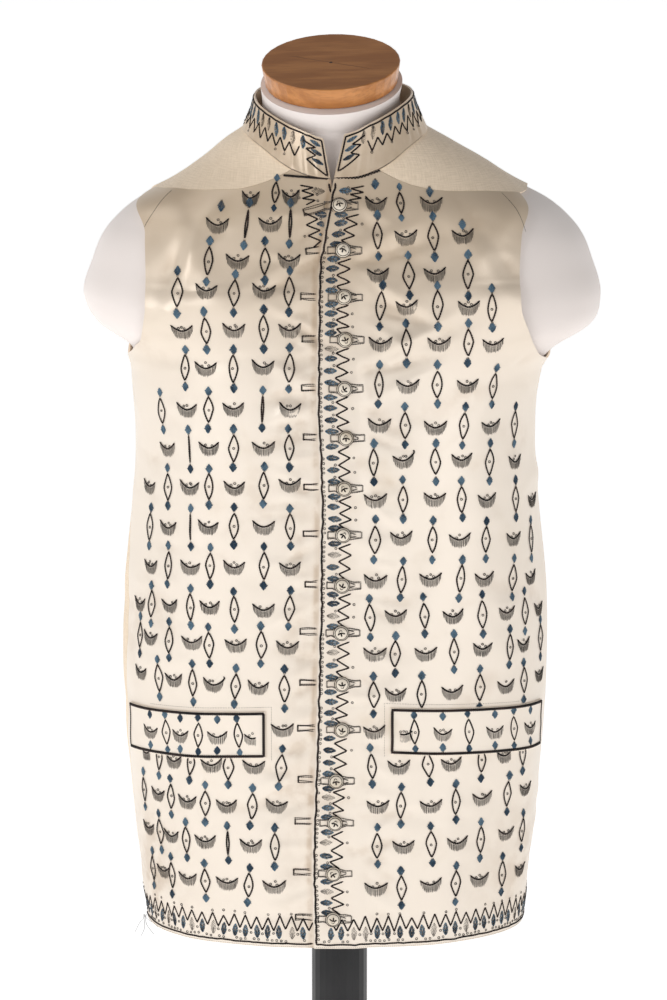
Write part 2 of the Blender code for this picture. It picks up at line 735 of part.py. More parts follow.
def main():
    for old in list(bpy.data.objects):
        bpy.data.objects.remove(old, do_unlink=True)
    satin = material("ivory_silk_satin", (0.80, 0.72, 0.58), 0.32)
    linen = material("beige_plain_linen", (0.66, 0.55, 0.40), 0.75)
    covered = material("button_satin", (0.78, 0.72, 0.60), 0.40)
    jersey = material("off_white_jersey", (0.80, 0.77, 0.75), 0.85)
    add_front(1, "front_left", satin)
    add_front(-1, "front_right", satin)
    add_back(1, "back_left", linen)
    add_back(-1, "back_right", linen)
    add_collar(satin)
    add_flap(1, "flap_left", satin)
    add_flap(-1, "flap_right", satin)
    for number, place in enumerate(BUTTONS, start=1):
        add_button(number, place, covered)
    add_form(jersey)
    add_neck_cap()
    add_stand()


main()
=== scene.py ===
"""The looks of an embroidered satin waistcoat of about 1790 on its limbless dress form.

The cut pieces become thin shells of soft cloth on the same dressed body as the solids. Stitches,
sequins and cords are small real shapes gathered into joined meshes.
"""

from collections import namedtuple
from math import cos, pi, radians, sin, tan

import bpy
import numpy as np
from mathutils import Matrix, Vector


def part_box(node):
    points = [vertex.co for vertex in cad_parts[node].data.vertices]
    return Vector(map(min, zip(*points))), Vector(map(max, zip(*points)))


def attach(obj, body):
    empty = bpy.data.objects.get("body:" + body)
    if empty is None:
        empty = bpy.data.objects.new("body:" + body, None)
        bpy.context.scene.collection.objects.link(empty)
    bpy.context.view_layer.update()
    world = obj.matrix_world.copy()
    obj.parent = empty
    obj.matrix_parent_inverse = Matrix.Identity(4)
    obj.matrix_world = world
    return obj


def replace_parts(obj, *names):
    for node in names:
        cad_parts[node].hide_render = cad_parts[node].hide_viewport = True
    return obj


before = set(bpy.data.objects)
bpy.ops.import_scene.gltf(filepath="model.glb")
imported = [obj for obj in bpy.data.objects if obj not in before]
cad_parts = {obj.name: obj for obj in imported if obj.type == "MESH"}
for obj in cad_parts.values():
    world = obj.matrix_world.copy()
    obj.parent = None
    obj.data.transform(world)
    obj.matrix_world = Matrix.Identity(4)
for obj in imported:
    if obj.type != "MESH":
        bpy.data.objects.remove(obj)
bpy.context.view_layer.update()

# Cloth and seams
WALL = 0.0016
SEAM_GAP = 0.0003
OVERLAP_LIFT = WALL + SEAM_GAP
OVERLAP_HELD = 0.008
OVERLAP_BLEND = 0.016
HEM = 0.230
UNDERARM = 0.708
NECK_FRONT = 0.861
NECK_BACK = 0.905

# The worn body as level sections, rounded rectangles between an ellipse and a box
Section = namedtuple("Section", "height half_width front back exponent x_mid slack")
SECTIONS = (
    Section(0.215, 0.1565, -0.1080, 0.1075, 2.30, 0.0, 0.0100),
    Section(0.275, 0.1635, -0.1115, 0.1120, 2.30, 0.0, 0.0100),
    Section(0.345, 0.1700, -0.1150, 0.1140, 2.30, 0.0, 0.0100),
    Section(0.431, 0.1760, -0.1180, 0.1120, 2.30, 0.0, 0.0090),
    Section(0.500, 0.1750, -0.1185, 0.1080, 2.30, 0.0, 0.0100),
    Section(0.584, 0.1675, -0.1180, 0.1052, 2.30, 0.0, 0.0100),
    Section(0.640, 0.1645, -0.1180, 0.1065, 2.35, 0.0, 0.0070),
    Section(0.688, 0.1680, -0.1155, 0.1090, 2.45, 0.0005, 0.0040),
    Section(0.706, 0.1715, -0.1145, 0.1100, 2.50, 0.0025, 0.0030),
    Section(0.718, 0.1805, -0.1130, 0.1105, 2.50, 0.0070, 0.0037),
    Section(0.735, 0.2065, -0.1110, 0.1110, 2.50, 0.0085, 0.0030),
    Section(0.757, 0.2160, -0.1080, 0.1110, 2.50, 0.0060, 0.0020),
    Section(0.785, 0.2095, -0.1010, 0.1095, 2.45, 0.0060, 0.0018),
    Section(0.815, 0.1950, -0.0920, 0.1065, 2.35, 0.0062, 0.0022),
    Section(0.835, 0.1740, -0.0850, 0.1035, 2.30, 0.0064, 0.0044),
    Section(0.850, 0.1440, -0.0770, 0.0990, 2.20, 0.0066, 0.0043),
    Section(0.868, 0.1155, -0.0690, 0.0930, 2.05, 0.0055, 0.0047),
    Section(0.884, 0.0925, -0.0630, 0.0850, 1.95, 0.0015, 0.0046),
    Section(0.897, 0.0722, -0.0600, 0.0770, 1.95, -0.0005, 0.0050),
    Section(0.908, 0.0621, -0.0610, 0.0690, 2.00, -0.0028, 0.0025),
    Section(0.935, 0.0606, -0.0690, 0.0580, 2.00, -0.0028, 0.0010),
)
BODY_X = -0.0058
AT_SIDE = 0.5
AT_BACK = 1.0

# Soft folds: troughs have a negative rise. along is the distance round from the middle of the
# front, plus to the wearer's left, and lean turns a fold from upright.
Fold = namedtuple("Fold", "along height length width lean rise")
FOLDS = (
    Fold(-0.120, 0.330, 0.090, 0.022, 4, 0.0022),
    Fold(-0.055, 0.290, 0.060, 0.020, -5, 0.0016),
    Fold(0.085, 0.310, 0.080, 0.024, 3, 0.0020),
    Fold(0.170, 0.350, 0.100, 0.026, -3, 0.0022),
    Fold(-0.100, 0.765, 0.080, 0.014, 84, 0.0018),
    Fold(0.100, 0.770, 0.080, 0.014, 95, 0.0018),
    Fold(0.125, 0.815, 0.050, 0.012, 40, 0.0016),
    Fold(-0.125, 0.805, 0.050, 0.012, -35, 0.0014),
    Fold(-0.330, 0.320, 0.100, 0.028, 3, 0.0030),
    Fold(-0.410, 0.330, 0.110, 0.030, -2, 0.0028),
    Fold(0.330, 0.310, 0.100, 0.028, -4, 0.0030),
    Fold(0.420, 0.340, 0.110, 0.030, 3, 0.0026),
    Fold(-0.370, 0.600, 0.090, 0.018, 75, 0.0022),
    Fold(0.370, 0.590, 0.090, 0.018, 105, 0.0022),
)
CREASES = (
    Fold(-0.112, 0.7735, 0.050, 0.0020, 91, -0.00022),
    Fold(-0.115, 0.7760, 0.045, 0.0020, 91, 0.00016),
    Fold(0.145, 0.7780, 0.040, 0.0020, 90, -0.00022),
    Fold(0.140, 0.7805, 0.040, 0.0020, 90, 0.00016),
    Fold(-0.122, 0.800, 0.034, 0.0090, 22, 0.0014),
    Fold(-0.136, 0.796, 0.034, 0.0080, 24, -0.0010),
    Fold(-0.108, 0.812, 0.030, 0.0080, 30, -0.0009),
    Fold(-0.060, 0.787, 0.026, 0.0050, 62, 0.0010),
    Fold(-0.048, 0.780, 0.026, 0.0045, 66, -0.0010),
    Fold(-0.040, 0.752, 0.024, 0.0050, 118, 0.0011),
    Fold(-0.034, 0.744, 0.024, 0.0045, 122, -0.0010),
    Fold(-0.030, 0.734, 0.018, 0.0040, 128, 0.0008),
    Fold(-0.046, 0.712, 0.022, 0.0050, 112, 0.0008),
    Fold(-0.040, 0.690, 0.020, 0.0045, 72, -0.0009),
    Fold(-0.036, 0.676, 0.020, 0.0045, 70, 0.0009),
    Fold(0.036, 0.818, 0.026, 0.0060, 70, 0.0012),
    Fold(0.040, 0.804, 0.030, 0.0055, 74, -0.0012),
    Fold(0.044, 0.770, 0.034, 0.0070, 118, 0.0013),
    Fold(0.052, 0.756, 0.036, 0.0060, 112, -0.0012),
    Fold(0.046, 0.733, 0.028, 0.0060, 70, 0.0011),
    Fold(0.042, 0.716, 0.026, 0.0050, 78, -0.0010),
    Fold(0.052, 0.700, 0.026, 0.0050, 64, 0.0009),
    Fold(0.075, 0.748, 0.030, 0.0060, 62, 0.0009),
    Fold(0.110, 0.800, 0.040, 0.0070, 140, 0.0008),
    Fold(0.120, 0.812, 0.040, 0.0060, 140, -0.0007),
    Fold(-0.205, 0.560, 0.090, 0.0120, 8, 0.0014),
    Fold(0.200, 0.640, 0.080, 0.0110, -6, 0.0012),
    Fold(0.215, 0.520, 0.080, 0.0120, 4, 0.0014),
    Fold(-0.060, 0.352, 0.060, 0.0080, 80, -0.0009),
    Fold(0.070, 0.342, 0.060, 0.0080, 98, -0.0009),
)
PUCKER_SEED = 48
SOFT_SWELLS = 90
FINE_PUCKERS = 230
EDGE_PUCKERS = 46
FADE = 2.8
RELIEF = 1.6

# The front opening. left_edge is the wearer's left front, which lies on top.
Opening = namedtuple("Opening", "height left_edge right_edge")
FRONT_EDGES = (
    Opening(0.230, -0.0170, 0.0060),
    Opening(0.305, -0.0190, 0.0050),
    Opening(0.362, -0.0170, 0.0060),
    Opening(0.428, -0.0150, 0.0070),
    Opening(0.515, -0.0130, 0.0080),
    Opening(0.600, -0.0120, 0.0080),
    Opening(0.641, -0.0130, 0.0080),
    Opening(0.682, -0.0150, 0.0070),
    Opening(0.787, -0.0140, 0.0060),
    Opening(0.803, -0.0120, 0.0060),
    Opening(0.861, -0.0010, -0.0035),
)
Seam = namedtuple("Seam", "height right_turn left_turn")
SIDE_SEAMS = (
    Seam(0.230, 88, 93),
    Seam(0.330, 84, 94),
    Seam(0.430, 78, 95),
    Seam(0.550, 78, 93),
    Seam(0.600, 84, 91),
    Seam(0.650, 88, 84),
    Seam(0.708, 88, 80),
)
Armhole = namedtuple("Armhole", "height right_x left_x")
ARMHOLE_FRONT = (
    Armhole(0.720, 0.1645, 0.1645),
    Armhole(0.734, 0.1570, 0.1585),
    Armhole(0.752, 0.1535, 0.1515),
    Armhole(0.785, 0.1530, 0.1490),
    Armhole(0.815, 0.1545, 0.1510),
)
Mark = namedtuple("Mark", "x height")
ARMHOLE_BACK = (
    Mark(0.1690, 0.722),
    Mark(0.1580, 0.742),
    Mark(0.1490, 0.775),
    Mark(0.1480, 0.812),
    Mark(0.1530, 0.838),
)
SHOULDER_TIP = Mark(0.1500, 0.8445)
YOKE = (
    Mark(0.1290, 0.8480),
    Mark(0.1000, 0.8500),
    Mark(0.0780, 0.8520),
    Mark(0.0560, 0.8580),
)
YOKE_INNER = Mark(0.0350, 0.868)
NECK_TURN = Mark(0.0600, 0.884)
FRONT_NECK_DIP = 0.0015
SHOULDER_RIDGE = 0.8465
RIDGE_MIDDLE = 0.872
NECK_SIDE = 0.897
NECK_BEHIND = 0.903

# Grid counts. The fronts are finer than the backs.
FINE = 10
COARSE = 4
COLUMNS_NECK = 3
COLUMNS_YOKE = 9
COLUMNS_BACK_NECK = 6
ROWS_BODY = 17
ROWS_ARMHOLE = 10
ROWS_OVER_SHOULDER = 5
TOP_FROM = 0.80
MOST_OF_CELL = 0.4

# Stand collar
COLLAR_HALF_WIDTH = 0.0633
COLLAR_HALF_DEPTH = 0.0660
COLLAR_X = -0.0013
COLLAR_Y = 0.0010
COLLAR_NOTCH_RIGHT = -0.0095
COLLAR_NOTCH_LEFT = 0.0075
COLLAR_BOW = 0.0008
COLLAR_ROWS = 22
COLLAR_RIPPLES = ((0.0117, 0.00022, 0.4), (0.0071, 0.00018, 2.1), (0.0045, 0.00010, 4.0))
Rim = namedtuple("Rim", "turn right left")
COLLAR_TOP = (
    Rim(0, 0.8905, 0.8950),
    Rim(12, 0.8945, 0.8975),
    Rim(30, 0.9015, 0.9055),
    Rim(60, 0.9125, 0.9170),
    Rim(90, 0.9205, 0.9235),
    Rim(130, 0.9265, 0.9275),
    Rim(180, 0.9320, 0.9320),
)

# Pocket flaps and covered buttons
Flap = namedtuple("Flap", "inner_x length inner_top outer_top")
FLAP_RIGHT = Flap(0.0565, 0.139, 0.4310, 0.4225)
FLAP_LEFT = Flap(0.0450, 0.151, 0.4345, 0.4250)
FLAP_HEIGHT = 0.0385
FLAP_LIFT = WALL + SEAM_GAP
Place = namedtuple("Place", "height x sprig")
BUTTONS = (
    Place(0.8402, 0.0035, 20),
    Place(0.8062, 0.0065, -15),
    Place(0.7697, 0.0073, 35),
    Place(0.7365, 0.0081, 200),
    Place(0.6975, 0.0075, 130),
    Place(0.6576, 0.0088, 5),
    Place(0.6168, 0.0073, 30),
    Place(0.5786, 0.0065, -35),
    Place(0.5370, 0.0057, 160),
    Place(0.4979, 0.0050, 15),
    Place(0.4554, 0.0057, 185),
    Place(0.4172, 0.0055, 165),
    Place(0.3739, 0.0008, 10),
    Place(0.3382, 0.0000, -20),
    Place(0.2949, -0.0014, 40),
    Place(0.2558, -0.0016, 175),
)
BUTTON_RADIUS = 0.006
BUTTON_HEIGHT = 0.0040

# Dress form
FORM_BOTTOM = 0.285
FORM_BOTTOM_ROUND = 0.022
FORM_BOTTOM_SHARE = 0.86
FORM_SIDES = 120
NECK_TILT = radians(18)
NECK_ROLL = radians(2)
NECK_TILT_FROM = 0.893
NECK_TOP = 0.932

# Sampling of the worn body
BODY_LOW, BODY_HIGH, BODY_STEP = 0.206, 0.934, 0.001
BODY_COLUMNS = 1201
TURN_SAMPLES = 361

chance = np.random.default_rng(1790)


def smooth_curve(knots, values, at):
    """A value on a smooth curve through the knots."""
    knots, values, at = (np.asarray(v, float) for v in (knots, values, at))
    slopes = np.gradient(values, knots)
    i = np.clip(np.searchsorted(knots, at) - 1, 0, len(knots) - 2)
    span = knots[i + 1] - knots[i]
    q = (np.clip(at, knots[0], knots[-1]) - knots[i]) / span
    rise = values[i + 1] - values[i]
    curve = values[i] + rise * q * q * (3 - 2 * q)
    return curve + span * q * (1 - q) * (slopes[i] * (1 - q) - slopes[i + 1] * q)


def section_value(name, height):
    return smooth_curve([row.height for row in SECTIONS], [getattr(row, name) for row in SECTIONS], height)


def signed_power(value, power):
    return np.sign(value) * np.abs(value) ** power


def body_point(turn, height, inset=0.0):
    """The point of the worn body at an angle round from the front, in radians, and a height."""
    half_width = section_value("half_width", height) - inset
    front, back = section_value("front", height) + inset, section_value("back", height) - inset
    power = 2 / section_value("exponent", height)
    x = section_value("x_mid", height) + half_width * signed_power(np.sin(turn), power)
    y = (front + back) / 2 - (back - front) / 2 * signed_power(np.cos(turn), power)
    return np.stack(np.broadcast_arrays(x, y, height), axis=-1)


def eased(q):
    q = np.clip(q, 0, 1)
    return q * q * (3 - 2 * q)


def bilinear(table, row, column):
    """Values of a table at whole and part rows and columns."""
    row = np.clip(row, 0, table.shape[0] - 1.0001)
    column = np.clip(column, 0, table.shape[1] - 1.0001)
    i, j = row.astype(int), column.astype(int)
    a, b = row - i, column - j
    if table.ndim == 3:
        a, b = a[..., None], b[..., None]
    low = table[i, j] * (1 - b) + table[i, j + 1] * b
    high = table[i + 1, j] * (1 - b) + table[i + 1, j + 1] * b
    return low * (1 - a) + high * a


def unit(vectors):
    return vectors / np.linalg.norm(vectors, axis=-1, keepdims=True)


def puckers():
    """Small uneven swells: soft ones all over, and short slanting ones beside the opening."""
    draw = np.random.default_rng(PUCKER_SEED)
    made = []
    for _ in range(SOFT_SWELLS):
        side = draw.choice((-1, 1))
        made.append(Fold(
            side * draw.uniform(0.03, 0.44), draw.uniform(0.24, 0.85), draw.uniform(0.020, 0.055),
            draw.uniform(0.007, 0.014), 90 + draw.normal(0, 28), draw.choice((-1, 1)) * draw.uniform(0.0003, 0.0008),
        ))
    for _ in range(FINE_PUCKERS):
        lean = 90 + draw.normal(0, 24)
        made.append(Fold(
            draw.choice((-1, 1)) * draw.uniform(0.03, 0.20), draw.uniform(0.25, 0.84), draw.uniform(0.008, 0.020),
            draw.uniform(0.0038, 0.0062), lean, draw.choice((-1, 1)) * draw.uniform(0.00016, 0.00040),
        ))
    for side in (-1, 1):
        for number in range(EDGE_PUCKERS):
            height = 0.255 + (0.845 - 0.255) * (number + draw.uniform(-0.4, 0.4)) / EDGE_PUCKERS
            along = side * draw.uniform(0.022, 0.048)
            lean = 90 + side * draw.normal(18, 22)
            made.append(Fold(
                along, height, draw.uniform(0.010, 0.022), draw.uniform(0.0032, 0.0052), lean,
                draw.choice((-1, 1)) * draw.uniform(0.0004, 0.0010),
            ))
    return tuple(made)


class Patch:
    """A smooth surface kept as a table of points, with its outward normals."""

    def __init__(self, points):
        self.points = points
        self.normals = unit(np.cross(np.gradient(points, axis=1), np.gradient(points, axis=0)))

    def at(self, row, column, lift=0.0):
        row, column, lift = np.broadcast_arrays(
            np.asarray(row, float), np.asarray(column, float), np.asarray(lift, float)
        )
        normal = unit(bilinear(self.normals, row, column))
        return bilinear(self.points, row, column) + normal * lift[..., None], normal


class Body:
    """The dressed body, asked for by the share of the way round and the height."""

    def __init__(self):
        self.heights = np.arange(BODY_LOW, BODY_HIGH, BODY_STEP)
        self.turns = np.linspace(0, pi, TURN_SAMPLES)
        ring = body_point(self.turns[None, :], self.heights[:, None])
        steps = np.linalg.norm(np.diff(ring, axis=1), axis=2)
        lengths = np.concatenate([np.zeros((len(steps), 1)), np.cumsum(steps, axis=1)], axis=1)
        self.girths = lengths[:, -1]
        self.turn_shares = lengths / self.girths[:, None]
        shares = np.linspace(-1, 1, BODY_COLUMNS)
        turn = np.array([np.interp(np.abs(shares), row, self.turns) for row in self.turn_shares])
        self.patch = Patch(body_point(np.sign(shares)[None, :] * turn, self.heights[:, None]))
        self.patch.points[..., 0] += BODY_X
        self.relief = self.swells(shares)

    def swells(self, shares):
        """How far folds and creases lift the cloth."""
        rise = np.zeros((len(self.heights), len(shares)))
        for fold in FOLDS + CREASES + puckers():
            reach = FADE * max(fold.length, fold.width)
            rows = slice(*np.searchsorted(self.heights, (fold.height - reach, fold.height + reach)))
            if rows.start == rows.stop:
                continue
            near = self.girths[rows]
            ends = (fold.along - reach) / near, (fold.along + reach) / near
            columns = slice(*np.searchsorted(shares, (min(map(np.min, ends)), max(map(np.max, ends)))))
            lean = radians(fold.lean)
            across = shares[None, columns] * near[:, None] - fold.along
            up = self.heights[rows, None] - fold.height
            down_fold = (up * cos(lean) + across * sin(lean)) / fold.length
            over_fold = (across * cos(lean) - up * sin(lean)) / fold.width
            rise[rows, columns] += fold.rise * RELIEF * np.exp(-(down_fold**2) - over_fold**2)
        least = 0.0007 - section_value("slack", self.heights)
        return np.maximum(rise, least[:, None])

    def row(self, height):
        return (np.asarray(height, float) - BODY_LOW) / BODY_STEP

    def girth(self, height):
        return np.interp(height, self.heights, self.girths)

    def at(self, share, height, lift=0.0, flat=False):
        share = np.asarray(share, float)
        row, column = np.broadcast_arrays(self.row(height), (share + 1) / 2 * (BODY_COLUMNS - 1))
        rise = 0.0 if flat else bilinear(self.relief, row, column)
        return self.patch.at(row, column, lift + rise)

    def share_at_turn(self, turn, height):
        row, column = np.broadcast_arrays(self.row(height), np.abs(turn) / pi * (TURN_SAMPLES - 1))
        return np.sign(turn) * bilinear(self.turn_shares, row, column)

    def share_at_x(self, x, height, behind=False):
        beside = x - section_value("x_mid", height)
        reach = np.minimum(np.abs(beside) / section_value("half_width", height), 1)
        turn = np.arcsin(reach ** (section_value("exponent", height) / 2))
        turn = pi - turn if behind else turn
        return self.share_at_turn(np.where(beside >= 0, turn, -turn), height)


body = Body()


def edge_share(side, height):
    """The share round of one front's edge at the opening."""
    heights = [row.height for row in FRONT_EDGES]
    places = [row.left_edge if side > 0 else row.right_edge for row in FRONT_EDGES]
    return body.share_at_x(np.interp(height, heights, places), height)


def front_lift(side, share, height):
    """The wearer's left front rises over the other front's edge."""
    if side < 0:
        return np.zeros(np.broadcast(share, height).shape)
    past = (share - edge_share(-1, height)) * body.girth(height) - OVERLAP_HELD
    return OVERLAP_LIFT * eased(1 - past / OVERLAP_BLEND)


def through(marks, count):
    """Evenly spaced places along a smooth line through marks, each a share and a height."""
    marks = np.array(marks, float)
    points = body.at(marks[:, 0], marks[:, 1], flat=True)[0]
    along = np.concatenate([[0], np.cumsum(np.linalg.norm(np.diff(points, axis=0), axis=1))])
    at = np.linspace(0, along[-1], count + 1)
    return np.stack([smooth_curve(along, marks[:, k], at) for k in (0, 1)], axis=1)


def joined(*lines):
    """Lines that follow each other, with the shared points once."""
    return np.concatenate([lines[0]] + [line[1:] for line in lines[1:]])


def mark_places(side, marks, behind=False):
    return [(body.share_at_x(side * m.x, m.height, behind), m.height) for m in marks]


def row_heights(top, fine):
    lower = np.linspace(HEM, UNDERARM, ROWS_BODY * fine + 1)
    return joined(lower, np.linspace(UNDERARM, top, ROWS_ARMHOLE * fine + 1))


def side_seam(side, fine):
    heights = [row.height for row in SIDE_SEAMS]
    turns = [row.left_turn if side > 0 else row.right_turn for row in SIDE_SEAMS]
    at = np.linspace(HEM, UNDERARM, ROWS_BODY * fine + 1)
    turn = np.radians(smooth_curve(heights, turns, at))
    return np.stack([body.share_at_turn(side * turn, at), at], axis=1)


def yoke_seam(side, fine):
    marks = mark_places(side, (YOKE_INNER, *reversed(YOKE), SHOULDER_TIP))
    return through(marks, COLUMNS_YOKE * fine)


def front_edge(side, fine):
    rows = row_heights(NECK_FRONT, fine)
    return np.stack([edge_share(side, rows), rows], axis=1)


def front_neck(side, fine):
    dip = NECK_FRONT + FRONT_NECK_DIP
    middle, inner = mark_places(side, (Mark(YOKE_INNER.x / 2, dip), YOKE_INNER))
    return through([front_edge(side, fine)[-1], middle, inner], COLUMNS_NECK * fine)


def side_neck(side, fine):
    marks = mark_places(side, (NECK_TURN, YOKE_INNER))
    return through([(side * AT_SIDE, NECK_SIDE), *marks], ROWS_OVER_SHOULDER * fine)


def back_neck(side, fine):
    halfway = side * (AT_SIDE + AT_BACK) / 2
    marks = [(side * AT_SIDE, NECK_SIDE), (halfway, NECK_BEHIND), (side * AT_BACK, NECK_BACK)]
    return through(marks, COLUMNS_BACK_NECK * fine)


def filled(bottom, top, near, far, top_from=0.0):
    """A grid of places inside four edge lines. Only rows past top_from take the top's shape."""
    across = np.linspace(0, 1, len(bottom))[None, :, None]
    up = np.linspace(0, 1, len(near))[:, None, None]
    high = np.clip((up - top_from) / (1 - top_from), 0, 1)
    straight = (1 - across) * near[:, None] + across * far[:, None]
    low_bend = bottom[None] - (1 - across) * bottom[0] - across * bottom[-1]
    high_bend = top[None] - (1 - across) * top[0] - across * top[-1]
    return straight + (1 - up) * low_bend + high * high_bend


def toward(edge, inner):
    """The edge drawn in by half of the gap that seams keep."""
    here = body.at(edge[..., 0], edge[..., 1], flat=True)[0]
    there = body.at(inner[..., 0], inner[..., 1], flat=True)[0]
    distance = np.linalg.norm(there - here, axis=-1)
    pull = np.minimum(SEAM_GAP / 2 / np.maximum(distance, 1e-9), MOST_OF_CELL)
    return edge + (inner - edge) * pull[..., None]


def pulled_in(places, bottom=True, top=True, near=True, far=True):
    drawn = places.copy()
    for on, edge, inner in ((bottom, 0, 1), (top, -1, -2)):
        if on:
            drawn[edge] = toward(places[edge], places[inner])
    for on, edge, inner in ((near, 0, 1), (far, -1, -2)):
        if on:
            drawn[:, edge] = toward(drawn[:, edge], drawn[:, inner])
    return drawn


def front_places(side, fine):
    marks = [(row.left_x if side > 0 else -row.right_x, row.height) for row in ARMHOLE_FRONT]
    armhole = [(body.share_at_x(x, height), height) for x, height in marks]
    seam = side_seam(side, fine)
    tip = mark_places(side, (SHOULDER_TIP,))
    far = joined(seam, through([seam[-1], *armhole, *tip], ROWS_ARMHOLE * fine))
    near = front_edge(side, fine)
    top = joined(front_neck(side, fine), yoke_seam(side, fine))
    bottom = np.stack([np.linspace(near[0][0], far[0][0], len(top)), np.full(len(top), HEM)], axis=1)
    return pulled_in(filled(bottom, top, near, far, TOP_FROM), bottom=False, near=False)


def back_blocks(side, fine):
    """The back piece as two grids that share the shoulder's ridge."""
    heights = (SHOULDER_RIDGE, RIDGE_MIDDLE, NECK_SIDE)
    ridge = through([(side * AT_SIDE, height) for height in heights], COLUMNS_YOKE * fine)
    seam = side_seam(side, fine)
    armhole = mark_places(side, ARMHOLE_BACK, behind=True)
    near = joined(seam, through([seam[-1], *armhole, ridge[0]], ROWS_ARMHOLE * fine))
    top = joined(ridge, back_neck(side, fine))
    columns = len(top)
    bottom = np.stack([np.linspace(seam[0][0], side * AT_BACK, columns), np.full(columns, HEM)], axis=1)
    rows = row_heights(NECK_BACK, fine)
    far = np.stack([np.full(len(rows), side * AT_BACK), rows], axis=1)
    lower = pulled_in(filled(bottom, top, near, far, TOP_FROM), bottom=False, top=False)
    shared = COLUMNS_YOKE * fine
    lower[-1, shared:] = toward(lower[-1, shared:], lower[-2, shared:])
    yoke = yoke_seam(side, fine)[::-1]
    tip = through([lower[-1, 0], yoke[0]], ROWS_OVER_SHOULDER * fine)
    over = pulled_in(filled(lower[-1, : shared + 1], yoke, tip, side_neck(side, fine)), bottom=False)
    over[0] = lower[-1, : shared + 1]
    return lower, over


def add_mesh(name, points, faces, finish, sharp=None):
    """A mesh from arrays of points and of three- and four-cornered faces."""
    points = np.asarray(points, float).reshape(-1, 3)
    corners = np.concatenate([f.reshape(-1) for f in faces])
    sizes = np.concatenate([np.full(len(f), f.shape[1]) for f in faces])
    starts = np.concatenate([[0], np.cumsum(sizes)[:-1]])
    mesh = bpy.data.meshes.new(name)
    mesh.vertices.add(len(points))
    mesh.vertices.foreach_set("co", points.ravel())
    mesh.loops.add(len(corners))
    mesh.loops.foreach_set("vertex_index", corners)
    mesh.polygons.add(len(sizes))
    mesh.polygons.foreach_set("loop_start", starts)
    mesh.update(calc_edges=True)
    mesh.validate()
    mesh.materials.append(finish)
    mesh.shade_smooth()
    if sharp:
        mesh.set_sharp_from_angle(angle=radians(sharp))
    made = bpy.data.objects.new(name, mesh)
    bpy.context.scene.collection.objects.link(made)
    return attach(made, "root")


def add_value(made, name, values):
    """A value at each of a mesh's points, which its finish reads by name."""
    kind = "FLOAT" if values.ndim == 1 else "FLOAT_VECTOR"
    key = "value" if values.ndim == 1 else "vector"
    layer = made.data.attributes.new(name, kind, "POINT")
    layer.data.foreach_set(key, values.astype(np.float32).ravel())


def grid_quads(rows, columns):
    i = np.arange((rows - 1) * columns).reshape(rows - 1, columns)[:, :-1].ravel()
    return np.stack([i, i + 1, i + columns + 1, i + columns], axis=1)


def wall_quads(quads, count):
    """Faces of a closed wall: the outer ones, the inner ones behind them, and the rim."""
    ends = np.concatenate([quads[:, [k, (k + 1) % 4]] for k in range(4)])
    keys = ends[:, 0] * count + ends[:, 1]
    rim = ends[~np.isin(keys, ends[:, 1] * count + ends[:, 0])]
    rim = np.stack([rim[:, 1], rim[:, 0], rim[:, 0] + count, rim[:, 1] + count], axis=1)
    return np.concatenate([quads, quads[:, ::-1] + count, rim])


def cloth_shell(name, places, quads, finish, side, lift):
    """A closed wall with its outer face at the places of the cloth."""
    share, height = places[:, 0], places[:, 1]
    outer, normals = body.at(share, height, lift)
    flip = quads if side > 0 else quads[:, ::-1]
    made = add_mesh(
        name, np.concatenate([outer, outer - normals * WALL]), [wall_quads(flip, len(outer))], finish, 50
    )
    grain = np.stack([share * body.girth(height), height, np.zeros_like(height)], axis=1)
    add_value(made, "grain", np.concatenate([grain, grain]))
    return made


# Finishes


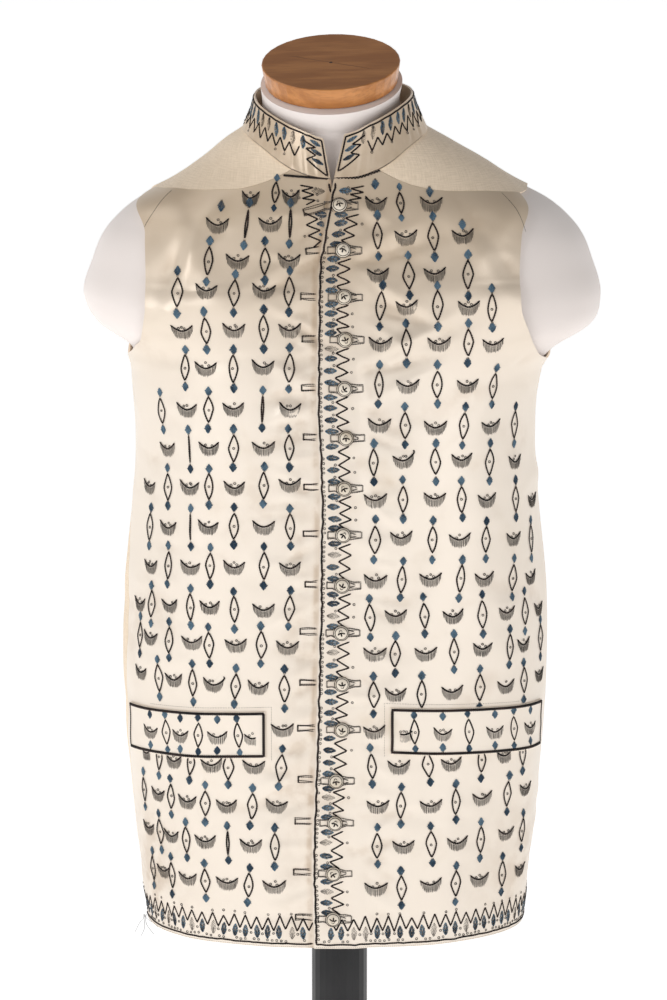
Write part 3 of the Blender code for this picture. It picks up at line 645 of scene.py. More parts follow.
class Finish:
    """A procedural material under construction."""

    def __init__(self, name, color, roughness, **rest):
        self.made = bpy.data.materials.new(name)
        self.made.use_nodes = True
        self.tree = self.made.node_tree
        self.shader = self.tree.nodes["Principled BSDF"]
        self.set("Base Color", (*color, 1))
        self.set("Roughness", roughness)
        for key, value in rest.items():
            self.set(key.replace("_", " "), value)
        self.place = self.node("ShaderNodeTexCoord").outputs["Object"]

    def set(self, key, value):
        self.shader.inputs[key].default_value = value

    def node(self, kind, **inputs):
        made = self.tree.nodes.new(kind)
        for key, value in inputs.items():
            self.feed(made.inputs[key.replace("_", " ")], value)
        return made

    def feed(self, socket, value):
        if isinstance(value, bpy.types.NodeSocket):
            self.tree.links.new(value, socket)
        else:
            socket.default_value = value

    def value(self, name):
        made = self.tree.nodes.new("ShaderNodeAttribute")
        made.attribute_name = name
        return made

    def noise(self, scale, detail=2.0, vector=None, stretch=None):
        vector = vector or self.place
        if stretch:
            turned = self.node("ShaderNodeMapping", Vector=vector)
            turned.inputs["Scale"].default_value = stretch
            vector = turned.outputs["Vector"]
        return self.node("ShaderNodeTexNoise", Vector=vector, Scale=scale, Detail=detail).outputs["Fac"]

    def band(self, value, low, high, to_low=0.0, to_high=1.0, smooth=True):
        made = self.node("ShaderNodeMapRange", Value=value)
        made.interpolation_type = "SMOOTHSTEP" if smooth else "LINEAR"
        for key, number in zip(("From Min", "From Max", "To Min", "To Max"), (low, high, to_low, to_high)):
            made.inputs[key].default_value = number
        return made.outputs["Result"]

    def sum(self, kind, a, b):
        made = self.tree.nodes.new("ShaderNodeMath")
        made.operation = kind
        self.feed(made.inputs[0], a)
        self.feed(made.inputs[1], b)
        return made.outputs[0]

    def mix(self, share, first, second):
        made = self.tree.nodes.new("ShaderNodeMix")
        made.data_type = "RGBA"
        self.feed(made.inputs["Factor"], share)
        for socket, color in ((made.inputs[6], first), (made.inputs[7], second)):
            self.feed(socket, color if isinstance(color, bpy.types.NodeSocket) else (*color, 1))
        return made.outputs[2]

    def color(self, socket):
        self.tree.links.new(socket, self.shader.inputs["Base Color"])

    def bump(self, height, strength, distance):
        made = self.node("ShaderNodeBump", Height=height, Strength=strength, Distance=distance)
        self.tree.links.new(made.outputs["Normal"], self.shader.inputs["Normal"])


def satin_finish():
    f = Finish("ivory_silk_satin", (0.80, 0.70, 0.56), 0.36, Metallic=0.14, Specular_IOR_Level=0.75)
    axes = f.node("ShaderNodeSeparateXYZ", Vector=f.place)
    # Darker and more golden towards the top: partly the silk's yellowing and partly painted shade where the chest tilts
    # upward.
    top_yellowing_and_shade = f.band(axes.outputs["Z"], 0.66, 0.86)
    top_yellowing_and_shade = f.sum("MULTIPLY", top_yellowing_and_shade, f.band(f.noise(9.0, 3.0), 0.3, 0.7, 0.75, 1.0))
    cream = f.mix(top_yellowing_and_shade, (0.83, 0.735, 0.630), (0.60, 0.465, 0.325))
    spots = f.band(f.noise(16.0, 4.0), 0.60, 0.78, 0.0, 0.35)
    stained_and_shaded = f.mix(spots, cream, (0.60, 0.47, 0.32))
    # The tone value mixes in brown: painted shadow and painted shade on the fronts, and an even darkening on the
    # collar.
    tone = f.value("tone").outputs["Fac"]
    painted_shade_amount = f.sum("MULTIPLY", tone, f.band(f.noise(70.0, 3.0), 0.35, 0.62, 0.25, 1.0))
    f.color(f.mix(painted_shade_amount, stained_and_shaded, (0.42, 0.28, 0.16)))
    grain = f.value("grain").outputs["Vector"]
    f.bump(f.noise(1.0, 2.0, grain, (1400.0, 160.0, 1.0)), 0.10, 0.0004)
    return f.made


def linen_finish():
    f = Finish("beige_plain_linen", (0.66, 0.55, 0.40), 0.78, Sheen_Weight=0.15)
    grain = f.value("grain").outputs["Vector"]
    warp = f.noise(1.0, 2.0, grain, (1700.0, 90.0, 1.0))
    weft = f.noise(1.0, 2.0, grain, (90.0, 1700.0, 1.0))
    weave = f.sum("ADD", warp, weft)
    tone = f.mix(f.band(weave, 0.75, 1.25), (0.81, 0.66, 0.49), (0.96, 0.80, 0.62))
    f.color(f.mix(f.band(f.noise(7.0, 3.0), 0.35, 0.75, 0.0, 0.4), tone, (0.66, 0.52, 0.37)))
    f.bump(weave, 0.35, 0.0004)
    return f.made


def jersey_finish():
    f = Finish("off_white_jersey", (0.80, 0.77, 0.75), 0.85, Sheen_Weight=0.2)
    cloud = f.band(f.noise(6.0, 3.0), 0.3, 0.7)
    f.color(f.mix(cloud, (0.79, 0.715, 0.675), (0.85, 0.78, 0.745)))
    f.bump(f.noise(900.0, 2.0), 0.15, 0.0003)
    return f.made


def covered_finish():
    f = Finish("button_satin", (0.78, 0.72, 0.60), 0.40, Sheen_Weight=0.2)
    f.color(f.mix(f.band(f.noise(60.0, 3.0), 0.4, 0.7), (0.74, 0.66, 0.55), (0.60, 0.51, 0.39)))
    return f.made


def thread_finish(name, dark, light, roughness=0.55, scale=60.0):
    f = Finish(name, dark, roughness, Specular_IOR_Level=0.25)
    f.color(f.mix(f.band(f.noise(scale, 2.0), 0.35, 0.65), dark, light))
    return f.made


def metal_finish():
    f = Finish("tarnished_sequin", (0.12, 0.10, 0.08), 0.45, Metallic=0.45)
    f.color(f.mix(f.band(f.noise(110.0, 2.0), 0.4, 0.6), (0.012, 0.009, 0.008), (0.11, 0.095, 0.080)))
    return f.made


def wood_finish():
    f = Finish("varnished_maple", (0.46, 0.21, 0.08), 0.30, Specular_IOR_Level=0.35, Coat_Weight=0.15, Coat_Roughness=0.15)
    rings = f.noise(1.0, 4.0, None, (16.0, 120.0, 90.0))
    fine = f.noise(1.0, 3.0, None, (60.0, 700.0, 500.0))
    base = f.mix(f.band(rings, 0.35, 0.65), (0.42, 0.165, 0.048), (0.58, 0.25, 0.080))
    base = f.mix(f.band(fine, 0.45, 0.7, 0.0, 0.35), base, (0.30, 0.12, 0.04))
    # Surfaces that face up are darker: painted shade on the cap's top.
    facing = f.node("ShaderNodeSeparateXYZ", Vector=f.node("ShaderNodeNewGeometry").outputs["Normal"])
    base = f.mix(f.band(facing.outputs["Z"], 0.80, 0.92, 0.0, 0.28), base, (0.17, 0.065, 0.026))
    low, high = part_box("neck_cap")
    middle = ((low.x + high.x) / 2, (low.y + high.y) / 2 - 0.003)
    axes = f.node("ShaderNodeSeparateXYZ", Vector=f.place)
    x = f.sum("SUBTRACT", axes.outputs["X"], middle[0])
    y = f.sum("SUBTRACT", axes.outputs["Y"], middle[1])
    reach = f.sum("SQRT", f.sum("ADD", f.sum("MULTIPLY", x, x), f.sum("MULTIPLY", y, y)), 0.0)
    # A dark disc in the middle of the top: painted shade standing in for a small hole.
    hole = f.band(reach, 0.0012, 0.0016, 1.0, 0.0)
    waver = f.band(f.noise(120.0, 2.0), 0.0, 1.0, -0.0015, 0.0015, False)
    across = f.sum("ABSOLUTE", f.sum("ADD", f.sum("ADD", f.sum("MULTIPLY", x, 0.45), y), waver), 0.0)
    crack = f.sum("MULTIPLY", f.band(across, 0.0002, 0.0005, 0.7, 0.0), f.band(reach, 0.030, 0.040, 1.0, 0.0))
    f.color(f.mix(f.sum("MAXIMUM", hole, crack), base, (0.03, 0.012, 0.006)))
    return f.made


def black_finish():
    f = Finish("black_satin_steel", (0.012, 0.012, 0.013), 0.35, Metallic=0.4)
    f.color(f.mix(f.band(f.noise(14.0, 3.0), 0.4, 0.7), (0.010, 0.010, 0.011), (0.020, 0.019, 0.020)))
    return f.made


satin = satin_finish()
linen = linen_finish()
jersey = jersey_finish()
wood = wood_finish()
steel = black_finish()
dark_silk = thread_finish("dark_brown_silk", (0.006, 0.004, 0.004), (0.024, 0.013, 0.011), 0.7)
blue_silk = thread_finish("steel_blue_silk", (0.024, 0.048, 0.078), (0.110, 0.185, 0.250), 0.45, 70.0)
grey_silk = thread_finish("smoke_grey_silk", (0.040, 0.034, 0.030), (0.150, 0.130, 0.112), 0.6, 120.0)
metal = metal_finish()


# Cut pieces


def painted_shade_of(side, places):
    """Painted shade on the satin, by place: a painted shadow beside the overlapping front's edge, and painted shade
    round the opening, low at the sides and down in the creases.
    """
    share, height = places[:, 0], places[:, 1]
    along = share * body.girth(height)
    edge = edge_share(1, height) * body.girth(height)
    # A painted shadow on the under front, just beside the overlapping front's edge.
    overlap_shadow = 0.55 * np.exp(-(((along - edge + 0.0026) / 0.0022) ** 2)) if side < 0 else 0.0
    # Painted shade in a band round the opening.
    opening_shade = 0.13 * np.exp(-(((np.abs(along - edge) - 0.014) / 0.013) ** 2))
    rise = bilinear(body.relief, *np.broadcast_arrays(body.row(height), (share + 1) / 2 * (BODY_COLUMNS - 1)))
    shade = 0.34 * np.exp(-(((np.abs(along) - 0.175) / 0.045) ** 2) - ((height - 0.285) / 0.050) ** 2)
    # The last term is painted shade down in the troughs of folds and creases.
    tone = np.clip(overlap_shadow + opening_shade + shade + 0.22 * np.clip(-rise / 0.0009, 0, 1), 0, 0.6)
    return np.concatenate([tone] * 2)


def add_front(side, name):
    places = front_places(side, FINE)
    rows, columns = places.shape[:2]
    places = places.reshape(-1, 2)
    lift = front_lift(side, places[:, 0], places[:, 1])
    made = cloth_shell(name + "_cloth", places, grid_quads(rows, columns), satin, side, lift)
    add_value(made, "tone", painted_shade_of(side, places))
    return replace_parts(made, name)


def add_back(side, name):
    lower, over = back_blocks(side, COARSE)
    rows, columns = lower.shape[:2]
    shared = COLUMNS_YOKE * COARSE + 1
    index = np.concatenate([
        ((rows - 1) * columns + np.arange(shared))[None],
        rows * columns + np.arange((len(over) - 1) * shared).reshape(-1, shared),
    ])
    upper = np.stack([index[:-1, :-1], index[:-1, 1:], index[1:, 1:], index[1:, :-1]], axis=-1)
    quads = np.concatenate([grid_quads(rows, columns), upper.reshape(-1, 4)])
    places = np.concatenate([lower.reshape(-1, 2), over[1:].reshape(-1, 2)])
    made = cloth_shell(name + "_cloth", places, quads, linen, side, 0.0)
    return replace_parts(made, name)


def collar_half(side, fine):
    """Seam points and top points from the notch round to the middle of the back."""
    places = joined(front_neck(side, fine), side_neck(side, fine)[::-1], back_neck(side, fine))
    share, height = places[:, 0], places[:, 1]
    seam = body.at(share, height, front_lift(side, share, height))[0]
    notch = COLLAR_NOTCH_LEFT if side > 0 else COLLAR_NOTCH_RIGHT
    first = np.degrees(np.arcsin((notch - COLLAR_X) / COLLAR_HALF_WIDTH))
    along = np.concatenate([[0], np.cumsum(np.linalg.norm(np.diff(seam, axis=0), axis=1))])
    turns = first + (side * 180 - first) * along / along[-1]
    knots = [row.turn for row in COLLAR_TOP]
    right = smooth_curve(knots, [row.right for row in COLLAR_TOP], np.abs(turns))
    left = smooth_curve(knots, [row.left for row in COLLAR_TOP], np.abs(turns))
    x = COLLAR_X + COLLAR_HALF_WIDTH * np.sin(np.radians(turns)) + BODY_X
    y = COLLAR_Y - COLLAR_HALF_DEPTH * np.cos(np.radians(turns))
    return seam, np.stack([x, y, np.where(turns > 0, left, right)], axis=1)


def collar_patch():
    """The band's outer face, its columns from the wearer's right notch round the back to the left."""
    seam_right, top_right = collar_half(-1, FINE)
    seam_left, top_left = collar_half(1, FINE)
    seam, top = joined(seam_right, seam_left[::-1]), joined(top_right, top_left[::-1])
    beside = np.gradient(seam, axis=0)
    up = unit(top - seam)
    out = -unit(np.cross(up, beside))
    start = seam + up * SEAM_GAP * 2
    q = np.linspace(0, 1, COLLAR_ROWS + 1)[:, None, None]
    length = np.concatenate([[0], np.cumsum(np.linalg.norm(np.diff(seam, axis=0), axis=1))])[None, :, None]
    ripple = sum(rise * np.sin(2 * pi * length / wave + shift) for wave, rise, shift in COLLAR_RIPPLES)
    plain = eased(q / 0.10) * eased((0.72 - q) / 0.45)
    return start + (top - start) * q + out * (COLLAR_BOW * np.sin(pi * q) + ripple * plain), out


def add_collar():
    points, inward = collar_patch()
    rows, columns = points.shape[:2]
    outer = (points - inward * WALL).reshape(-1, 3)
    inner = points.reshape(-1, 3)
    quads = wall_quads(grid_quads(rows, columns)[:, ::-1], len(outer))
    made = add_mesh("collar_cloth", np.concatenate([outer, inner]), [quads], satin, 50)
    add_value(made, "tone", np.full(len(outer) * 2, 0.22))
    add_value(made, "grain", np.concatenate([outer, inner]))
    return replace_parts(made, "collar")


def flap_place(side, along, up):
    """The place on a flap at a distance from its inner end and a height over its lower edge."""
    flap = FLAP_LEFT if side > 0 else FLAP_RIGHT
    drop = FLAP_HEIGHT - up
    q = along / flap.length
    first = np.abs(body.share_at_x(side * flap.inner_x, flap.inner_top - drop))
    last = first + flap.length / body.girth(flap.outer_top - drop)
    return side * (first + (last - first) * q), flap.inner_top + (flap.outer_top - flap.inner_top) * q - drop


def add_flap(side, name):
    flap = FLAP_LEFT if side > 0 else FLAP_RIGHT
    rows, columns = 28, 104
    up, along = np.meshgrid(np.linspace(0, FLAP_HEIGHT, rows), np.linspace(0, flap.length, columns), indexing="ij")
    places = np.stack(flap_place(side, along.ravel(), up.ravel()), axis=1)
    made = cloth_shell(name + "_cloth", places, grid_quads(rows, columns), satin, side, FLAP_LIFT)
    add_value(made, "tone", np.zeros(len(places) * 2))
    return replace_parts(made, name)


def form_ring(height, shrink, leaning):
    """One ring of the form's surface, inside the cloth by the cloth's wall and slack."""
    turns = np.linspace(0, 2 * pi, FORM_SIDES, endpoint=False)
    inset = WALL + float(section_value("slack", height))
    ring = body_point(turns, np.full(FORM_SIDES, height), inset)
    middle = ring.mean(axis=0)
    spokes = ring[:, :2] - middle[:2]
    ring[:, :2] = middle[:2] + spokes * shrink
    ring[:, 2] += tan(NECK_TILT * leaning) * spokes[:, 1] + tan(NECK_ROLL * leaning) * spokes[:, 0]
    ring[:, 0] += BODY_X
    return ring


def add_form():
    rings = []
    for turn in np.linspace(0, pi / 2, 9):
        height = FORM_BOTTOM + FORM_BOTTOM_ROUND * (1 - cos(turn))
        rings.append(form_ring(height, FORM_BOTTOM_SHARE + (1 - FORM_BOTTOM_SHARE) * sin(turn), 0.0))
    heights = np.concatenate([np.linspace(0.32, 0.69, 62), np.linspace(0.693, NECK_TOP, 96)])
    for height in heights:
        leaning = np.clip((height - NECK_TILT_FROM) / (NECK_TOP - NECK_TILT_FROM), 0, 1)
        rings.append(form_ring(height, 1.0, leaning))
    points = np.concatenate([*rings, rings[0].mean(axis=0)[None], rings[-1].mean(axis=0)[None]])
    k = np.arange(FORM_SIDES)
    n = (k + 1) % FORM_SIDES
    quads = []
    for j in range(len(rings) - 1):
        low, high = j * FORM_SIDES, (j + 1) * FORM_SIDES
        quads.append(np.stack([low + k, low + n, high + n, high + k], axis=1))
    last = (len(rings) - 1) * FORM_SIDES
    bottom = np.stack([n, k, np.full(FORM_SIDES, len(points) - 2)], axis=1)
    top = np.stack([last + k, last + n, np.full(FORM_SIDES, len(points) - 1)], axis=1)
    made = add_mesh("form_torso_jersey", points, [np.concatenate(quads), bottom, top], jersey, 60)
    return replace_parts(made, "form_torso")


front_left = add_front(1, "front_left")
front_right = add_front(-1, "front_right")
back_left = add_back(1, "back_left")
back_right = add_back(-1, "back_right")
collar = add_collar()
flap_left = add_flap(1, "flap_left")
flap_right = add_flap(-1, "flap_right")
form = add_form()

for node, finish in (("neck_cap", wood), ("post", steel), ("base", steel)):
    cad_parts[node].data.materials.clear()
    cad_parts[node].data.materials.append(finish)


# Stitches, cords, sequins and buttons


class Pile:
    """Many small shapes of one finish, gathered into one mesh."""

    def __init__(self, name, finish, tag):
        self.name, self.finish, self.tag = name, finish, tag
        self.points, self.faces, self.count = [], {3: [], 4: []}, 0

    def add(self, points, *faces):
        points = points.reshape(-1, 3)
        for group in faces:
            self.faces[group.shape[-1]].append(group.reshape(-1, group.shape[-1]) + self.count)
        self.points.append(points)
        self.count += len(points)

    def build(self):
        if self.count:
            faces = [np.concatenate(group) for group in self.faces.values() if group]
            add_mesh(self.name, np.concatenate(self.points), faces, self.finish)


class Ground:
    """A piece's surface as sideways and upward distances, and what lies over it there."""

    def __init__(self, place, covered=None):
        self.place, self.covered = place, covered

    def at(self, u, v, rise=0.0):
        return self.place(*np.broadcast_arrays(np.asarray(u, float), np.asarray(v, float)), rise)

    def shown(self, points):
        if self.covered is None:
            return np.ones(len(points), bool)
        return ~self.covered(points)

    def moved(self, u0, v0, turn=0.0, size=1.0, flip=1):
        c, s = cos(turn) * size, sin(turn) * size
        inner = self.place
        return Ground(
            lambda u, v, rise: inner(u0 + flip * u * c - v * s, v0 + flip * u * s + v * c, rise), self.covered
        )


def resampled(path, step, closed):
    path = np.asarray(path, float)
    if closed:
        path = np.concatenate([path, path[:1]])
    along = np.concatenate([[0], np.cumsum(np.linalg.norm(np.diff(path, axis=0), axis=1))])
    count = max(int(round(along[-1] / step)), 3)
    at = np.linspace(0, along[-1], count + 1)
    if closed:
        at = at[:-1]
    return np.stack([np.interp(at, along, path[:, k]) for k in (0, 1)], axis=1)


def runs(shown):
    """Stretches of neighbouring True values, as index arrays."""
    index = np.flatnonzero(shown)
    return [r for r in np.split(index, np.flatnonzero(np.diff(index) > 1) + 1) if len(r) > 2]


def add_tube(pile, ground, path, width, height, closed=False, step=0.00095, notched=0.25, sides=6, lift=0.0):
    """A thread or cord along a path. notched narrows every other ring, as the links of a chain."""
    path = resampled(path, step, closed)
    points, normals = ground.at(path[:, 0], path[:, 1], height * 0.6 + lift)
    shown = ground.shown(points)
    if not shown.all():
        if closed and shown.any():
            start = int(np.flatnonzero(~shown)[0])
            points, normals, shown = (np.roll(a, -start, axis=0) for a in (points, normals, shown))
        for run in runs(shown):
            add_rings(pile, points[run], normals[run], width, height, False, notched, sides)
        return
    add_rings(pile, points, normals, width, height, closed, notched, sides)


def add_rings(pile, points, normals, width, height, closed, notched, sides):
    if closed:
        tangent = np.roll(points, -1, axis=0) - np.roll(points, 1, axis=0)
    else:
        tangent = np.gradient(points, axis=0)
    beside = unit(np.cross(normals, tangent))
    count = len(points)
    swell = 1 - notched * (np.arange(count) % 2)
    if not closed:
        swell[0] = swell[-1] = 0.35
    turns = 2 * pi * np.arange(sides) / sides
    ring = (
        points[:, None]
        + beside[:, None] * np.cos(turns)[None, :, None] * (width * swell)[:, None, None]
        + normals[:, None] * np.sin(turns)[None, :, None] * (height * swell)[:, None, None]
    )
    last = count if closed else count - 1
    j, k = np.meshgrid(np.arange(last), np.arange(sides), indexing="ij")
    n, after = (k + 1) % sides, (j + 1) % count
    quads = np.stack([j * sides + k, after * sides + k, after * sides + n, j * sides + n], axis=-1)
    caps = np.zeros((0, 3), int)
    if not closed:
        fan = np.array([(0, i, i + 1) for i in range(1, sides - 1)])
        caps = np.concatenate([fan, fan[:, ::-1] + (count - 1) * sides])
    pile.add(ring, quads, caps)


BAR_TIPS = np.array([(0, 1 + (k + 1) % 4, 1 + k) for k in range(4)] + [(9, 5 + k, 5 + (k + 1) % 4) for k in range(4)])
BAR_SIDES = np.array([(1 + k, 1 + (k + 1) % 4, 5 + (k + 1) % 4, 5 + k) for k in range(4)])


def add_stitches(pile, ground, starts, ends, width=0.00020, height=0.00018):
    """Short straight stitches, each a slim bar with pointed ends."""
    starts, ends = np.asarray(starts, float), np.asarray(ends, float)
    first, normal = ground.at(starts[:, 0], starts[:, 1])
    last, normal_b = ground.at(ends[:, 0], ends[:, 1])
    keep = ground.shown(first) & ground.shown(last)
    if not keep.any():
        return
    first, last, normal = first[keep], last[keep], unit(normal + normal_b)[keep]
    along = last - first
    beside = unit(np.cross(normal, along))
    bars = np.zeros((len(first), 10, 3))
    bars[:, 0], bars[:, 9] = first, last
    for ring, share in ((1, 0.18), (5, 0.82)):
        middle = first + along * share + normal * height * 0.75
        bars[:, ring] = middle + beside * width
        bars[:, ring + 1] = middle + normal * height
        bars[:, ring + 2] = middle - beside * width
        bars[:, ring + 3] = middle - normal * height
    base = (np.arange(len(first)) * 10)[:, None, None]
    pile.add(bars, base + BAR_TIPS, base + BAR_SIDES)


SEQUIN_SIDES = 12


def add_sequins(pile, ground, places, radius=0.00112, hole=0.00056):
    """Small flat rings of metal, sewn down."""
    places = np.asarray(places, float)
    centre, normal = ground.at(places[:, 0], places[:, 1], 0.00012)
    keep = ground.shown(centre)
    if not keep.any():
        return
    centre, normal = centre[keep], normal[keep]
    normal = unit(normal + chance.normal(0, 0.10, normal.shape))
    beside = unit(np.cross(np.array((0.02, 0.01, 1.0)), normal))
    up = np.cross(normal, beside)
    turns = 2 * pi * np.arange(SEQUIN_SIDES) / SEQUIN_SIDES
    spokes = beside[:, None] * np.cos(turns)[None, :, None] + up[:, None] * np.sin(turns)[None, :, None]
    size = chance.uniform(0.92, 1.08, len(centre))[:, None, None]
    loops = []
    for reach, rise in ((radius, 0.0), (radius * 0.94, 0.00026), (hole * 1.2, 0.00020), (hole, 0.0)):
        loops.append(centre[:, None] + spokes * reach * size + normal[:, None] * rise)
    points = np.stack(loops, axis=1)
    j, k = np.meshgrid(np.arange(4), np.arange(SEQUIN_SIDES), indexing="ij")
    n, after = (k + 1) % SEQUIN_SIDES, (j + 1) % 4
    quads = np.stack(
        [j * SEQUIN_SIDES + k, j * SEQUIN_SIDES + n, after * SEQUIN_SIDES + n, after * SEQUIN_SIDES + k], axis=-1
    ).reshape(-1, 4)
    base = (np.arange(len(centre)) * 4 * SEQUIN_SIDES)[:, None, None]
    pile.add(points, base + quads)


class Threads:
    """The stitch finishes worked on one piece."""

    def __init__(self, piece):
        self.dark = Pile(piece + "_dark_chain_stitch", dark_silk, "satin")
        self.blue = Pile(piece + "_blue_satin_stitch", blue_silk, "satin")
        self.grey = Pile(piece + "_grey_stitches", grey_silk, "satin")
        self.metal = Pile(piece + "_sequins", metal, "satin")

    def build(self):
        for pile in (self.dark, self.blue, self.grey, self.metal):
            pile.build()


OUTLINE = 0.00074
OUTLINE_HIGH = 0.00036


def add_bud(threads, ground, size=1.0):
    """A small diamond of slanting satin stitches with its point up."""
    v = np.linspace(0.0034, -0.0029, 12)
    reach = 0.0034 * np.clip(1 - np.abs(v - 0.0001) / 0.0038, 0, 1) ** 0.66
    for hand in (-1, 1):
        wander = chance.uniform(0.85, 1.15, len(v))
        ends = np.stack([hand * reach * wander * size, (v - 0.0005) * size], axis=1)
        starts = np.stack([-hand * 0.0004 * np.ones_like(v), (v + 0.0003) * size], axis=1)
        add_stitches(threads.blue, ground, starts, ends, 0.00032, 0.00024)
    stem = [(-0.0005 * size, -0.0046 * size), (0.0005 * size, -0.0045 * size)]
    add_stitches(threads.dark, ground, [(-0.0004 * size, -0.0028 * size), (0.0004 * size, -0.0028 * size)], stem, 0.00022, 0.00022)


def add_leaf(threads, ground, length=0.0105, half_width=0.0028, loose=False):
    """A leaf of fishbone stitches with its tip at the start and its stitches opening away from it."""
    count = 9 if loose else 14
    v = np.linspace(0.0, length * 0.86, count)
    q = v / length
    reach = half_width * np.clip(np.sin(pi * np.clip(q + 0.10, 0, 1) ** 0.85), 0, 1) ** 0.8
    for hand in (-1, 1):
        wander = chance.uniform(0.85, 1.12, count)
        starts = np.stack([np.zeros(count), v], axis=1)
        ends = np.stack([hand * reach * wander, v + length * 0.15], axis=1)
        even = np.arange(count) % 4 != 3
        width = 0.00018 if loose else 0.00030
        target = threads.grey if loose else threads.blue
        add_stitches(target, ground, starts[even], ends[even], width, 0.00024)
        add_stitches(threads.grey, ground, starts[~even], ends[~even], width, 0.00026)
    add_stitches(threads.dark, ground, [(0, -0.0004)], [(0, length * 0.55)], 0.00016, 0.00034)


def add_lozenge(threads, ground, kind="whole"):
    """A pointed oval in chain stitch round one sequin, with a bud above and below."""
    turn = np.linspace(0, 2 * pi, 72, endpoint=False)
    half_width = {"whole": 0.0040, "narrow": 0.0010, "line": 0.0003}[kind] * chance.uniform(0.88, 1.10)
    half_height = 0.0108 * chance.uniform(0.95, 1.05)
    wave = 1 + 0.07 * np.sin(2 * turn + chance.uniform(0, 6)) + 0.05 * np.sin(3 * turn + chance.uniform(0, 6))
    u = half_width * signed_power(np.sin(turn), 1.75) * wave
    v = half_height * signed_power(np.cos(turn), 1.45)
    add_tube(threads.dark, ground, np.stack([u, v], axis=1), OUTLINE, OUTLINE_HIGH, closed=True)
    if kind == "whole":
        add_sequins(threads.metal, ground, [(chance.normal(0, 0.0003), chance.normal(-0.0003, 0.0005))])
    for side in (1, -1):
        place = chance.normal(0, 0.0004), side * (half_height + 0.0050 + chance.normal(0, 0.0004))
        add_bud(threads, ground.moved(*place, 0 if side > 0 else pi), chance.uniform(0.92, 1.08))


def arc_height(u, half_width, sag):
    return sag * (np.abs(u / half_width) ** 1.8 - 0.55)


def add_crescent(threads, ground, size=1.0, cut=None, turned_end=False):
    """A dark bow with a fringe hanging from it and three sequins in its hollow."""
    half_width = 0.0093 * size * chance.uniform(0.94, 1.05)
    sag = 0.0053 * chance.uniform(0.90, 1.10)
    low, high = cut or (-1.0, 1.0)
    u = np.linspace(low, high, 40) * half_width
    path = np.stack([u, arc_height(u, half_width, sag)], axis=1)
    if turned_end:
        path = np.concatenate([path, path[-1] + [(0.0006, 0.0016), (-0.0004, 0.0026)]])
    add_tube(threads.dark, ground, path, 0.00080, 0.00042)
    count = int(21 * (high - low) / 2)
    u = np.linspace(low * 0.95, high * 0.95, count) * half_width + chance.normal(0, 0.00008, count)
    q = np.abs(u / half_width)
    bottom = (-0.0098 + 0.0078 * q**4.0) * chance.uniform(0.92, 1.05, count)
    starts = np.stack([u, arc_height(u, half_width, sag) - 0.0004], axis=1)
    ends = np.stack([u * 0.95 + chance.normal(0, 0.00012, count), bottom], axis=1)
    add_stitches(threads.grey, ground, starts, ends, 0.00020, 0.00017)
    rings = np.array([(-0.0028, -0.0006), (0.0027, -0.0008), (0.0002, 0.0010)])
    rings = rings + chance.normal(0, 0.0004, rings.shape)
    rings = rings[chance.uniform(size=3) > 0.12]
    rings = [r for r in rings if low * half_width < r[0] < high * half_width]
    if rings:
        add_sequins(threads.metal, ground, rings)


# The photo's camera, which the motifs' heights and the last lines of the script use
PHOTO_ROWS = 1000
LENS, SENSOR = 176.74, 36
CAMERA_DISTANCE = 4.0
CAMERA_DROP = radians(11)
CAMERA_AIM = (-0.00125 + BODY_X, 0.584)
CAMERA_HEIGHT = CAMERA_AIM[1] + CAMERA_DISTANCE * tan(CAMERA_DROP)
FIELD_TOP = 0.87


def heights_at(pixel_rows):
    """Heights on the middle of the front that the photo's camera sees at pixel rows."""
    heights = body.heights[body.heights < FIELD_TOP]
    ahead = body.at(0.0, heights, flat=True)[0][:, 1] + CAMERA_DISTANCE
    above = heights - CAMERA_HEIGHT
    depth = ahead * cos(CAMERA_DROP) - above * sin(CAMERA_DROP)
    up = ahead * sin(CAMERA_DROP) + above * cos(CAMERA_DROP)
    seen = PHOTO_ROWS * (0.5 - LENS / SENSOR * up / depth)
    return np.interp(pixel_rows, seen[::-1], heights[::-1])


# Pixel rows of the motifs, read from the photo, from the neck down
LEFT_PIXEL_ROWS = (
    203.5, 236, 275, 307, 343, 385, 425, 461, 499.5, 539, 579.5, 617, 655, 695, 732, 767, 806, 847, 888,
)
RIGHT_PIXEL_ROWS = (
    192, 224, 261, 292, 330, 368, 409, 448.5, 486.5, 527, 567, 609, 647, 688.5, 730, 769, 808, 847, 887,
)
LEFT_ROWS, RIGHT_ROWS = heights_at(LEFT_PIXEL_ROWS), heights_at(RIGHT_PIXEL_ROWS)
# Each column's first row, and its distance from the middle in mm, by row
RIGHT_COLUMNS = (
    ((0, 35.0), (2, 37.0), (7, 36.4), (11, 36.4), (13, 41.1), (15, 45.1), (16, 49.1)),
    ((0, 47.6), (1, 51.0), (2, 55.9), (4, 57.2), (7, 58.0), (11, 58.0), (13, 62.8), (15, 66.1), (18, 70.1)),
    ((0, 67.2), (1, 71.9), (2, 79.1), (4, 81.7), (13, 81.7), (15, 86.5), (16, 88.1)),
    ((1, 94.6), (2, 101.2), (4, 104.5), (6, 102.0), (12, 102.0), (13, 98.4), (15, 100.6), (16, 105.2)),
    ((3, 125.9), (5, 121.7), (7, 117.6), (12, 117.6), (13, 115.2), (15, 116.8), (16, 120.1)),
    ((6, 140.7), (7, 135.7), (12, 135.7), (13, 131.6), (15, 131.6), (16, 134.0)),
    ((8, 151.6), (12, 150.8), (13, 144.2), (15, 143.7), (16, 145.9), (18, 142.6)),
    ((11, 160.9), (13, 159.2), (15, 155.9), (16, 157.6), (18, 151.7)),
)
